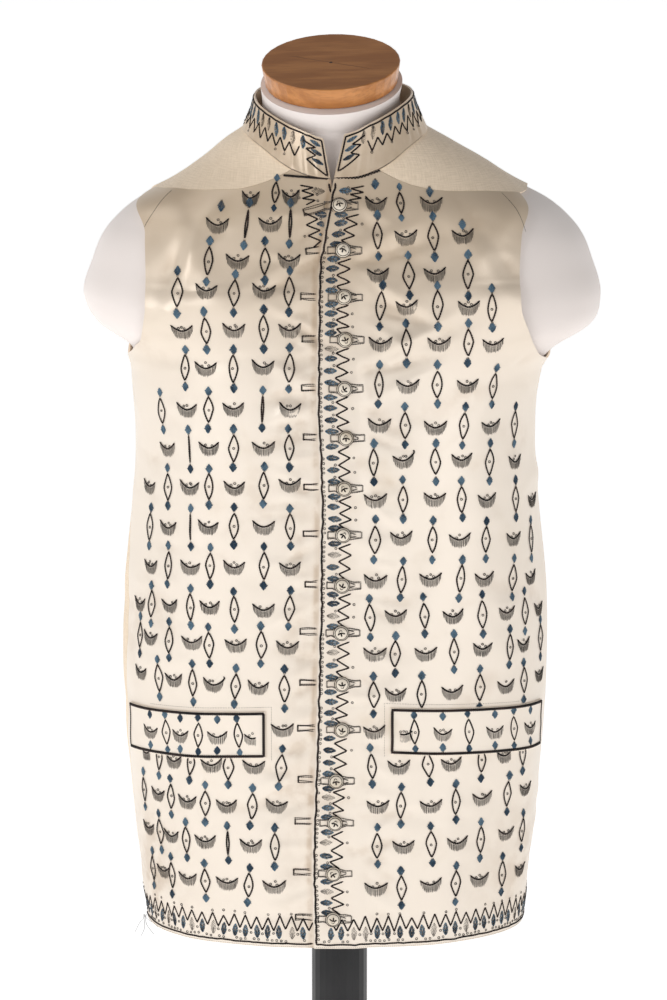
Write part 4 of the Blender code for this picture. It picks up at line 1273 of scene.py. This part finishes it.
LEFT_COLUMNS = (
    ((0, 33.0), (2, 35.4), (6, 35.4), (7, 32.2), (10, 32.2), (11, 28.2), (12, 32.2), (15, 30.6), (16, 34.6), (18, 33.5)),
    ((0, 51.6), (1, 55.6), (2, 58.0), (5, 58.0), (7, 54.8), (10, 53.2), (11, 49.1), (13, 49.1), (15, 51.6), (17, 55.6)),
    ((0, 77.5), (2, 80.7), (4, 84.0), (5, 81.7), (8, 80.0), (10, 76.8), (11, 71.9), (12, 74.3), (13, 71.1), (15, 75.1), (16, 77.5)),
    ((1, 102.8), (2, 106.0), (5, 106.8), (7, 102.0), (10, 102.0), (11, 96.3), (15, 95.6), (16, 98.8)),
    ((3, 126.6), (5, 128.3), (7, 124.9), (9, 122.5), (13, 119.2), (15, 119.2), (16, 121.7), (17, 119.2)),
    ((6, 146.5), (8, 146.5), (10, 144.8), (11, 139.8), (12, 142.3), (13, 139.8), (15, 137.4), (16, 140.7), (18, 137.4)),
    ((8, 161.4), (10, 160.6), (11, 155.6), (13, 154.0), (15, 152.4), (16, 154.8), (17, 152.4)),
    ((11, 167.5), (12, 169.0), (13, 168.0), (15, 164.0)),
)
# Worn or broken motifs, by side, row and column, all counted from the neck and the middle
NARROW = {(-1, 1, 0), (-1, 1, 2), (-1, 6, 1), (1, 4, 0), (1, 9, 3), (-1, 17, 2)}
LINES = {(-1, 9, 4), (-1, 7, 4), (1, 10, 0), (1, 8, 4), (1, 12, 0), (-1, 15, 7)}
TURNED_ENDS = {(1, 2, 1), (1, 6, 1), (1, 7, 1), (-1, 9, 6), (1, 13, 0), (-1, 13, 3), (1, 8, 1)}
GRAIN_DIP = 0.19
FIELD_LIFT = 0.00030
DIP_FROM, DIP_TO = 0.45, 0.56
LAST_ROW = 18
FLAP_ROW = 14


def under_flap(side, points, margin=0.0004):
    """Points of a front that lie under its pocket flap."""
    flap = FLAP_LEFT if side > 0 else FLAP_RIGHT
    height = points[:, 2]
    share = np.abs(body.share_at_x(points[:, 0] - BODY_X, height))
    along = share * body.girth(height) - np.abs(body.share_at_x(side * flap.inner_x, height)) * body.girth(height)
    top = flap.inner_top + (flap.outer_top - flap.inner_top) * along / flap.length
    below, above = height > top - FLAP_HEIGHT - margin, height < top + margin
    return below & above & (along > -margin) & (along < flap.length + margin)


def under_left_front(points):
    """Points of the wearer's right front that lie under the other front."""
    heights = [row.height for row in FRONT_EDGES]
    edge = np.interp(points[:, 2], heights, [row.left_edge for row in FRONT_EDGES])
    return points[:, 0] - BODY_X > edge - 0.0006


def front_ground(side, share, height):
    """The ground round one place of a front."""

    along = share * body.girth(height)
    middle = section_value("x_mid", height)
    facing = 1 - float(eased((abs(along) - 0.10) / 0.09))

    def place(u, v, rise):
        z = height + v
        s = (along + u - (section_value("x_mid", z) - middle) * facing) / body.girth(z)
        return body.at(s, z, front_lift(side, s, z) + rise + FIELD_LIFT)

    def covered(points):
        hidden = under_flap(side, points)
        return hidden if side > 0 else hidden | under_left_front(points)

    return Ground(place, covered)


def edge_ground(side):
    """The ground along a front's edge: u is the distance from the edge and v the height."""

    def place(u, v, rise):
        s = edge_share(side, v) + side * u / body.girth(v)
        return body.at(s, v, front_lift(side, s, v) + rise)

    return Ground(place, None if side > 0 else under_left_front)


def hem_ground(side):
    """The ground along the hem: u is the distance round from the middle and v the height over the hem."""

    def place(u, v, rise):
        s, z = side * u / body.girth(HEM + v), HEM + v
        return body.at(s, z, front_lift(side, s, z) + rise)

    return Ground(place, None if side > 0 else under_left_front)


def add_field(threads, side, columns, rows):
    for column, knots in enumerate(columns):
        knots = np.array(knots)
        for row in range(int(knots[0, 0]), LAST_ROW + 1):
            if side > 0 and column == 7 and row > 13:
                continue
            distance = np.interp(row, knots[:, 0], knots[:, 1]) / 1000
            if row == FLAP_ROW and distance > (FLAP_LEFT if side > 0 else FLAP_RIGHT).inner_x - 0.006:
                continue
            height = rows[row]
            share = float(body.share_at_x(side * distance, height))
            back = body.at(share, height)[0][1] - body.at(0.0, height)[0][1]
            height -= GRAIN_DIP * back * float(eased((height - DIP_FROM) / (DIP_TO - DIP_FROM)))
            share = float(body.share_at_x(side * distance, height)) + chance.normal(0, 0.0012)
            following = np.interp(row + 1, knots[:, 0], knots[:, 1]) / 1000
            slope = side * (distance - following) / 0.034
            ground = front_ground(side, share, height + chance.normal(0, 0.0006))
            if (row + column) % 2:
                kind = "narrow" if (side, row, column) in NARROW else "whole"
                kind = "line" if (side, row, column) in LINES else kind
                size = 0.74 if row == 0 else 1.0
                add_lozenge(threads, ground.moved(0, 0, float(np.clip(-slope * 0.6, -0.13, 0.13)) + chance.normal(0, 0.025), size), kind)
            else:
                turned = (side, row, column) in TURNED_ENDS
                size, up = (0.92 if column > 4 else 1.0), 0.0027
                if side < 0 and row == 0:
                    size, up = 0.80, -0.0004
                add_crescent(threads, ground.moved(0, up, chance.normal(0, 0.05)), size, None, turned)
    for distance, height in ((91.8, 0.8387),) if side < 0 else ((32.2, 0.8568), (76.1, 0.8500), (102.3, 0.8250)):
        share = float(body.share_at_x(side * distance / 1000, height))
        add_bud(threads, front_ground(side, share, height).moved(0, 0, pi), 1.05)


def zigzag(valley, peak, ends):
    """The corners of a zigzag between two distances from the edge, at the places in ends."""
    return [(valley if i % 2 else peak, v) for i, v in enumerate(ends)]


def bitten(path):
    return np.array(path) + chance.normal(0, 0.0003, (len(path), 2))


def add_front_border(threads, side):
    """Cord, sequins, leaves and zigzag along the opening, broken by the buttonholes."""
    ground = edge_ground(side)
    cord = np.arange(HEM + 0.0035, NECK_FRONT - 0.002, 0.004)
    wander = chance.normal(0, 0.00034, len(cord))
    add_tube(threads.dark, ground, np.stack([0.0020 + wander, cord], axis=1), 0.00092, 0.00060)
    rings = np.arange(HEM + 0.008, NECK_FRONT - 0.045, 0.0038)
    rings = rings[chance.uniform(size=len(rings)) > 0.2]
    add_sequins(threads.metal, ground, np.stack([np.full(len(rings), 0.0036), rings], axis=1) + chance.normal(0, 0.00015, (len(rings), 2)))
    heights = [place.height for place in BUTTONS]
    tops = [NECK_FRONT - 0.002] + heights
    bottoms = heights + [HEM + 0.012]
    for number, (top, bottom) in enumerate(zip(tops, bottoms)):
        span = top - bottom
        if span < 0.015:
            continue
        shares = (0.17, 0.27, 0.40, 0.535, 0.68, 0.77, 0.91)
        ends = [top - span * q for q in shares]
        path = zigzag(0.0152, 0.0252, ends)
        path[-1] = (0.0225, ends[-1])
        if number == len(heights):
            path = path[:2]
        if side < 0 and number > 1:
            break
        add_tube(threads.dark, ground, bitten(path), OUTLINE, OUTLINE_HIGH)
        for q in (0.18, 0.39, 0.64, 0.86):
            if number == len(heights) and q > 0.5 or number == 0 and q != 0.39:
                continue
            leaf = ground.moved(0.0062 + chance.normal(0, 0.0003), top - span * q, -pi / 2 + chance.normal(0, 0.06))
            add_leaf(threads, leaf, 0.0106 * chance.uniform(0.92, 1.06), 0.0028, chance.uniform() < 0.12)
        beads = [(0.0132, ends[1]), (0.0132, ends[3]), (0.0132, ends[5]), (0.0283, ends[2]), (0.0283, ends[4])]
        beads = [bead for bead in beads if chance.uniform() > 0.3]
        if beads:
            add_sequins(threads.metal, ground, bitten(beads))


def add_buttonholes(threads, side):
    """Worked holes under the buttons, or the blind ones on the other front."""
    for place in BUTTONS:
        share = float(body.share_at_x(place.x, place.height))
        if side > 0:
            ground = front_ground(side, share, place.height)
            for v in (1, -1):
                right = [(0.0045, v * 0.0040), (0.0100, v * 0.0029), (0.0150, v * 0.0027)]
                left = [(-0.0045, v * 0.0040), (-0.0078, v * 0.0027), (-0.0125, v * 0.0029)]
                tongue = [(0.0055, v * 0.0022), (0.0105, v * 0.0006)]
                for path in (right, left, tongue):
                    add_tube(threads.grey, ground, bitten(path), 0.00050, 0.00030, notched=0.5)
                u = np.concatenate([np.arange(-0.0122, -0.0062, 0.0007), np.arange(0.0065, 0.0148, 0.0007)])
                starts = np.stack([u, np.full(len(u), v * 0.0027)], axis=1)
                add_stitches(threads.grey, ground, starts, starts - (0, v * 0.0010), 0.00016, 0.00016)
            for near, far in ((-0.0130, -0.0116), (0.0142, 0.0156)):
                v = np.arange(-0.0026, 0.0027, 0.0006)
                starts = np.stack([np.full(len(v), near), v], axis=1)
                add_stitches(threads.grey, ground, starts, starts + (far - near, 0), 0.00018, 0.00018)
        else:
            length = chance.uniform(0.0105, 0.0125) if place.height > 0.5 else chance.uniform(0.0120, 0.0145)
            turn = {0: 0.28, 1: 0.10}.get(BUTTONS.index(place), 0.0)
            start = np.interp(place.height, [r.height for r in FRONT_EDGES], [r.left_edge for r in FRONT_EDGES])
            share = float(body.share_at_x(start - 0.0012, place.height))
            ground = front_ground(side, share, place.height + 0.0006).moved(0, 0, turn)
            if turn > 0.2:
                length = 0.020
            for v in (-0.0026, -0.0017, 0.0017, 0.0026):
                add_tube(threads.dark, ground, bitten([(0, v), (-length / 2, v), (-length, v)]), 0.00036, 0.00026, notched=0.5)
            v = np.arange(-0.0026, 0.0027, 0.0006)
            starts = np.stack([np.full(len(v), -length - 0.0004), v], axis=1)
            add_stitches(threads.dark, ground, starts, starts + (0.0015, 0), 0.00026, 0.00020)


def add_hem_border(threads, side):
    """Cord, sequins, upright leaves and zigzag along the hem, out to the side seam."""
    ground = hem_ground(side)
    seam = side_seam(side, 1)[0][0] * side * body.girth(HEM) - 0.002
    start = edge_share(side, HEM) * side * body.girth(HEM) + 0.0015
    u = np.arange(start, seam, 0.004)
    cord = np.stack([u, 0.0034 + chance.normal(0, 0.00022, len(u))], axis=1)
    add_tube(threads.dark, ground, cord, 0.00080, 0.00055)
    edge = np.arange(start, seam, 0.0016)
    starts = np.stack([edge, np.full(len(edge), 0.0009)], axis=1)
    add_stitches(threads.grey, ground, starts, starts + (0.0009, 0.0001), 0.00012, 0.00012)
    rings = np.arange(start + 0.003, seam, 0.0038)
    rings = rings[chance.uniform(size=len(rings)) > 0.28]
    add_sequins(threads.metal, ground, np.stack([rings, 0.0060 + chance.normal(0, 0.0003, len(rings))], axis=1))
    first = start + (0.030 if side > 0 else 0.0)
    teeth = np.arange(start + 0.0115, seam, 0.00960)
    path = []
    for u in teeth:
        path += [(u, 0.0262 + chance.normal(0, 0.0008)), (u + 0.0048, 0.0150 + chance.normal(0, 0.0006))]
    path = np.array([p for p in path if p[0] < seam and (p[0] > first - 0.020)])
    add_tube(threads.dark, ground, path, OUTLINE, OUTLINE_HIGH)
    for u in teeth:
        leaf = ground.moved(u + chance.normal(0, 0.0004), 0.0074, chance.normal(0, 0.05))
        add_leaf(threads, leaf, 0.0116 * chance.uniform(0.92, 1.05), 0.0027, chance.uniform() < 0.2)
    beads = [(u + 0.0048, 0.0118) for u in teeth if chance.uniform() > 0.25]
    beads += [(u, 0.0286) for u in teeth if chance.uniform() > 0.35]
    add_sequins(threads.metal, ground, bitten(beads))


def flap_ground(side):
    flap = FLAP_LEFT if side > 0 else FLAP_RIGHT

    def place(u, v, rise):
        share, height = flap_place(side, u, v)
        return body.at(share, height, FLAP_LIFT + rise)

    return Ground(place), flap


FLAP_LOZENGES = {1: (0.0195, 0.0660, 0.1090), -1: (0.0225, 0.0560, 0.0875)}
FLAP_CRESCENTS = {1: (0.0430, 0.0900, 0.1290), -1: (0.0400, 0.0730, 0.1060)}


def add_flap_stitching(threads, side):
    ground, flap = flap_ground(side)
    inset = 0.0013
    corners = [
        (inset, inset), (flap.length - inset, inset),
        (flap.length - inset, FLAP_HEIGHT - inset), (inset, FLAP_HEIGHT - inset),
    ]
    thick = [corners[1], corners[0], corners[3], corners[2]]
    add_tube(threads.dark, ground, thick, 0.00135, 0.00085, notched=0.35)
    add_tube(threads.dark, ground, corners[1:3], 0.00060, 0.00050, notched=0.35)
    middle = FLAP_HEIGHT / 2
    for u in FLAP_LOZENGES[side]:
        spot = ground.moved(u, middle, chance.normal(0, 0.03), 0.94, side)
        add_lozenge(threads, spot)
    for u in FLAP_CRESCENTS[side]:
        spot = ground.moved(u, middle + 0.001, chance.normal(0, 0.04), 0.95, side)
        add_crescent(threads, spot, 0.95)
        for v, turn in ((0.0065, 0.0), (FLAP_HEIGHT - 0.0062, pi)):
            add_bud(threads, ground.moved(u, v, turn), 0.95)
    spot = ground.moved(0.0105, middle, 0, 0.95, side)
    add_crescent(threads, spot, 0.95, (-0.85, 0.35) if side < 0 else (-0.35, 0.85))


def collar_ground(side, patch, top_length):
    """The ground of one collar half: u from the notch along the top edge, v down from it."""

    def place(u, v, rise):
        length = u if side < 0 else top_length[-1] - u
        column = np.interp(length, top_length, np.arange(len(top_length)))
        tall = np.linalg.norm(patch.points[-1] - patch.points[0], axis=1)
        row = COLLAR_ROWS * (1 + v / np.interp(column, np.arange(len(tall)), tall))
        return patch.at(row, column, rise)

    return Ground(place)


def add_collar_stitching(threads):
    """Cords, leaves and zigzag along the collar's top and front edges."""
    face, out = collar_face()
    patch = Patch(face[:, ::-1])
    top_length = np.concatenate([[0], np.cumsum(np.linalg.norm(np.diff(patch.points[-1], axis=0), axis=1))])
    half = top_length[-1] / 2
    for side in (1, -1):
        ground = collar_ground(-side, patch, top_length)
        flip = 1
        top = [(0.0018, -0.0318), (0.0018, -0.0150), (0.0018, -0.0026)]
        u = np.arange(0.0035, half, 0.004)
        top = np.array(top + [(a, -0.0024 + chance.normal(0, 0.0002)) for a in u] + [(half, -0.0024)])
        add_tube(threads.dark, ground, top, 0.00078, 0.00052)
        for v in (-0.0075, -0.0150, -0.0225):
            leaf = ground.moved(0.0036, v, -pi / 2 + 0.25 * flip, 0.95)
            add_leaf(threads, leaf, 0.0092, 0.0022)
        front = [
            (0.0190, -0.0075), (0.0085, -0.0100), (0.0160, -0.0140),
            (0.0082, -0.0175), (0.0165, -0.0225), (0.0024, -0.0318),
        ]
        add_tube(threads.dark, ground, bitten(front), OUTLINE, OUTLINE_HIGH)
        teeth = np.arange(0.0222, half - 0.004, 0.0094)
        path = []
        for a in teeth:
            path += [(a, -0.0140 + chance.normal(0, 0.0006)), (a + 0.0047, -0.0235 + chance.normal(0, 0.0009))]
        tall = np.array(path)
        add_tube(threads.dark, ground, tall, OUTLINE, OUTLINE_HIGH)
        for a in np.arange(0.0180, half - 0.003, 0.0092):
            leaf = ground.moved(a, -0.0036, pi + chance.normal(0, 0.08), 1.0)
            add_leaf(threads, leaf, 0.0116 * chance.uniform(0.92, 1.05), 0.0026, chance.uniform() < 0.15)
        beads = [(a + 0.0046, -0.0046) for a in teeth if chance.uniform() > 0.35]
        beads += [(a + 0.0047, -0.0255) for a in teeth if chance.uniform() > 0.6]
        add_sequins(threads.metal, ground, bitten(beads))


def collar_face():
    """The collar's outer face."""
    points, inward = collar_patch()
    return points - inward * WALL, inward


def dome(r):
    """The rise of a covered button, by the share of its radius."""
    return BUTTON_HEIGHT * (0.35 + 0.65 * np.clip(1 - r**2.2, 0, 1) ** 0.8)


def add_buttons():
    threads = Threads("buttons")
    sides, rings = 36, np.concatenate([np.linspace(1.0, 0.06, 12)])
    for number, place in enumerate(BUTTONS, start=1):
        share = float(body.share_at_x(place.x, place.height))
        lift = float(front_lift(1, share, place.height)) + SEAM_GAP
        foot, out = body.at(share, place.height, lift)
        up = -unit(np.cross(out, (1.0, 0, 0)))
        beside = np.cross(up, out)

        def surface(u, v, rise, foot=foot, out=out, up=up, beside=beside):
            r = np.hypot(u, v) / BUTTON_RADIUS
            slope = (dome(np.clip(r + 0.02, 0, 1)) - dome(np.clip(r - 0.02, 0, 1))) / 0.04 / BUTTON_RADIUS
            spoke = (u[..., None] * beside + v[..., None] * up) / np.maximum(r * BUTTON_RADIUS, 1e-6)[..., None]
            normal = unit(out - spoke * slope[..., None])
            middle = foot + u[..., None] * beside + v[..., None] * up + out * dome(np.clip(r, 0, 1))[..., None]
            return middle + normal * np.asarray(rise)[..., None], normal

        turns = 2 * pi * np.arange(sides) / sides
        spokes = beside[None] * np.cos(turns)[:, None] + up[None] * np.sin(turns)[:, None]
        loops = [foot + spokes * BUTTON_RADIUS]
        loops += [foot + spokes * BUTTON_RADIUS * r + out * float(dome(np.float64(r))) for r in rings]
        points = np.concatenate([*loops, (foot + out * float(dome(np.float64(0.0))))[None], foot[None]])
        k = np.arange(sides)
        n = (k + 1) % sides
        quads = np.concatenate([
            np.stack([j * sides + k, j * sides + n, (j + 1) * sides + n, (j + 1) * sides + k], axis=1)
            for j in range(len(loops) - 1)
        ])
        last = (len(loops) - 1) * sides
        cap = np.stack([last + k, last + n, np.full(sides, len(points) - 2)], axis=1)
        under = np.stack([n, k, np.full(sides, len(points) - 1)], axis=1)
        name = f"button_{number:02d}"
        made = add_mesh(name + "_cover", points, [quads, cap, under], covered_button)
        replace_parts(made, name)
        ground = Ground(surface)
        circle = np.linspace(0, 2 * pi, 40, endpoint=False)
        circle = 0.0049 * np.stack([np.cos(circle), np.sin(circle)], axis=1)
        add_tube(threads.dark, ground, circle, 0.00034, 0.00024, closed=True)
        add_tube(threads.dark, ground, circle * 1.26, 0.00030, 0.00022, closed=True)
        sprig = ground.moved(0, 0, radians(place.sprig))
        foot_end = (0.0, -0.0033)
        for tip, width in (((0.0002, 0.0038), 0.00060), ((-0.0032, 0.0014), 0.00052), ((0.0031, 0.0009), 0.00052)):
            add_stitches(threads.dark, sprig, [foot_end], [tip], width, 0.00026)
            add_stitches(threads.dark, sprig, [(0.0001, -0.0010)], [(tip[0] * 0.9, tip[1] * 0.7)], width, 0.00030)
    threads.build()


def add_neck_cords(threads, side):
    """The thick cord along the neck seam beside the collar's notch."""
    marks = front_neck(side, 6)
    yoke = yoke_seam(side, 6)
    count = 4 if side < 0 else 2
    line = joined(marks, yoke[: count * 2])
    line = line + np.array((0.0, -0.0032))
    share, height = line[1:, 0], line[1:, 1]
    ground = Ground(lambda u, v, rise: body.at(u, v, front_lift(side, u, v) + rise), None)
    path = np.stack([share, height], axis=1)
    steps = np.linspace(0, len(path) - 1, 80)
    path = np.stack([np.interp(steps, np.arange(len(path)), path[:, k]) for k in (0, 1)], axis=1)
    points, normals = ground.at(path[:, 0], path[:, 1], 0.0006)
    keep = np.abs(points[:, 0] - BODY_X) < (0.0415 if side < 0 else 0.0365)
    points, normals = points[keep], normals[keep]
    q = np.linspace(1, 0, len(points))[:, None]
    if side < 0:
        straight = points[:1] * q + points[-1:] * (1 - q)
        points = straight + np.array((0, 0, 1.0)) * (0.0024 * q + 0.0006) - normals * 0.0 + unit(normals) * 0.0002
        height = points[:, 2]
        points, normals = body.at(body.share_at_x(points[:, 0] - BODY_X, height), height, 0.0007)
    else:
        height = points[:, 2] + 0.0024 + 0.0005 * np.sin(np.arange(len(points)) * 1.3)
        share = body.share_at_x(points[:, 0] - BODY_X, height)
        points, normals = body.at(share, height, front_lift(side, share, height) + 0.0006)
    width = 0.00115 if side < 0 else 0.00070
    add_rings(threads.dark, points, normals, width, 0.0008, False, 0.3, 6)


def add_line_stitches(threads, ground, path, step=0.0022):
    """A row of small running stitches."""
    path = resampled(path, step, False)
    way = unit(np.gradient(path, axis=0))
    add_stitches(threads.grey, ground, path, path + way * step * 0.62, 0.00013, 0.00012)


def add_plain_seams(threads, side):
    """Running stitches round the pocket, and the small piece let in at the shoulder's tip."""
    flap = FLAP_LEFT if side > 0 else FLAP_RIGHT
    out = 0.0048
    share = float(body.share_at_x(side * (flap.inner_x - out), flap.inner_top))
    ground = front_ground(side, share, flap.inner_top)
    drop = flap.outer_top - flap.inner_top
    corners = [(side * (flap.length * 0.8), 0.0032 + drop * 0.8), (0, 0.0040), (0, -FLAP_HEIGHT - 0.001)]
    add_line_stitches(threads, ground, corners)
    marks = ((0.1300, 0.8475), (0.1455, 0.8330), (0.1545, 0.8210)) if side < 0 else ((0.1330, 0.8475), (0.1440, 0.8360), (0.1535, 0.8180))
    line = through([(body.share_at_x(side * x, z), z - 0.0012) for x, z in marks], 30)
    points, normals = body.at(line[:, 0], line[:, 1], 0.0001)
    add_rings(threads.grey, points, normals, 0.00022, 0.00016, False, 0.2, 4)


def add_loose_threads(threads):
    """Broken thread ends hanging from the hem by the wearer's right side seam."""
    u = side_seam(-1, 1)[0][0] * body.girth(HEM) + 0.006
    foot, out = body.at(u / body.girth(HEM), HEM + 0.002, 0.0008)
    for sway, length in ((-0.010, 0.016), (-0.004, 0.020), (0.006, 0.018), (0.010, 0.012)):
        q = np.linspace(0, 1, 24)
        curl = np.sin(q * 5 + sway * 400) * 0.0012
        points = foot + np.stack([sway * q**1.4 + curl, -0.004 * q * (1 - q), -length * q], axis=1) + out * 0.0012
        add_rings(threads.dark, points, np.tile(out, (24, 1)), 0.00020, 0.00020, False, 0.0, 5)


covered_button = covered_finish()
for side, piece, columns, rows in (
    (1, "front_left", LEFT_COLUMNS, LEFT_ROWS),
    (-1, "front_right", RIGHT_COLUMNS, RIGHT_ROWS),
):
    threads = Threads(piece)
    add_field(threads, side, columns, rows)
    add_front_border(threads, side)
    add_hem_border(threads, side)
    add_buttonholes(threads, side)
    add_neck_cords(threads, side)
    add_plain_seams(threads, side)
    if side < 0:
        add_loose_threads(threads)
    threads.build()
for side, piece in ((1, "flap_left"), (-1, "flap_right")):
    threads = Threads(piece)
    add_flap_stitching(threads, side)
    threads.build()
threads = Threads("collar")
add_collar_stitching(threads)
threads.build()
add_buttons()


# Floor, lights and camera


def add_floor():
    f = Finish("white_paper", (0.95, 0.95, 0.95), 0.9)
    f.set("Emission Color", (1, 1, 1, 1))
    f.set("Emission Strength", 0.75)
    mesh = bpy.data.meshes.new("floor")
    mesh.from_pydata([(-9, -6, 0), (9, -6, 0), (9, 14, 0), (-9, 14, 0)], [], [(0, 1, 2, 3)])
    mesh.materials.append(f.made)
    floor = bpy.data.objects.new("floor", mesh)
    bpy.context.scene.collection.objects.link(floor)


def add_lamp(name, place, aim, size, power, color=(1, 1, 1)):
    data = bpy.data.lights.new(name, "AREA")
    data.shape = "RECTANGLE"
    data.size, data.size_y = size
    data.energy = power
    data.color = color
    lamp = bpy.data.objects.new(name, data)
    lamp.location = place
    toward_aim = np.array(aim, float) - np.array(place, float)
    flat = np.hypot(toward_aim[0], toward_aim[1])
    lamp.rotation_euler = (pi / 2 - np.arctan2(-toward_aim[2], flat), 0, np.arctan2(toward_aim[1], toward_aim[0]) - pi / 2)
    bpy.context.scene.collection.objects.link(lamp)


add_floor()
add_lamp("softbox_left", (-2.2, -2.3, 1.5), (0, 0, 0.55), (1.1, 1.4), 28)
add_lamp("softbox_right", (2.0, -2.4, 0.9), (0, 0, 0.55), (1.5, 2.0), 16)
add_lamp("top_soft", (-1.2, 0.2, 2.3), (0, 0, 0.8), (1.2, 1.2), 7)

ROOM_BRIGHT, ROOM_DARK = 1.06, 0.14
ROOM_NEAR = 0.68
ROOM_FROM, ROOM_TO = 0.15, 0.65


def add_room():
    """An even pale room that is bright all round and dark overhead."""
    world = bpy.data.worlds.new("studio")
    bpy.context.scene.world = world
    world.use_nodes = True
    tree = world.node_tree
    back = tree.nodes["Background"]
    back.inputs["Color"].default_value = (1, 1, 1, 1)
    place = tree.nodes.new("ShaderNodeTexCoord")
    axes = tree.nodes.new("ShaderNodeSeparateXYZ")
    fall = tree.nodes.new("ShaderNodeMapRange")
    tree.links.new(place.outputs["Generated"], axes.inputs["Vector"])
    tree.links.new(axes.outputs["Z"], fall.inputs["Value"])
    for key, number in zip(("From Min", "From Max", "To Min", "To Max"), (ROOM_FROM, ROOM_TO, ROOM_BRIGHT, ROOM_DARK)):
        fall.inputs[key].default_value = number
    beyond = tree.nodes.new("ShaderNodeMapRange")
    tree.links.new(axes.outputs["Y"], beyond.inputs["Value"])
    for key, number in zip(("From Min", "From Max", "To Min", "To Max"), (-0.4, 0.5, ROOM_NEAR, 1.0)):
        beyond.inputs[key].default_value = number
    both = tree.nodes.new("ShaderNodeMath")
    both.operation = "MULTIPLY"
    tree.links.new(fall.outputs["Result"], both.inputs[0])
    tree.links.new(beyond.outputs["Result"], both.inputs[1])
    tree.links.new(both.outputs[0], back.inputs["Strength"])


add_room()

lens = bpy.data.cameras.new("photo")
lens.sensor_fit = "VERTICAL"
lens.sensor_height = SENSOR
lens.lens = LENS
camera = bpy.data.objects.new("photo", lens)
camera.location = (CAMERA_AIM[0], -CAMERA_DISTANCE, CAMERA_HEIGHT)
camera.rotation_euler = (pi / 2 - CAMERA_DROP, 0, 0)
bpy.context.scene.collection.objects.link(camera)
bpy.context.scene.camera = camera
bpy.context.scene.view_settings.view_transform = "Standard"
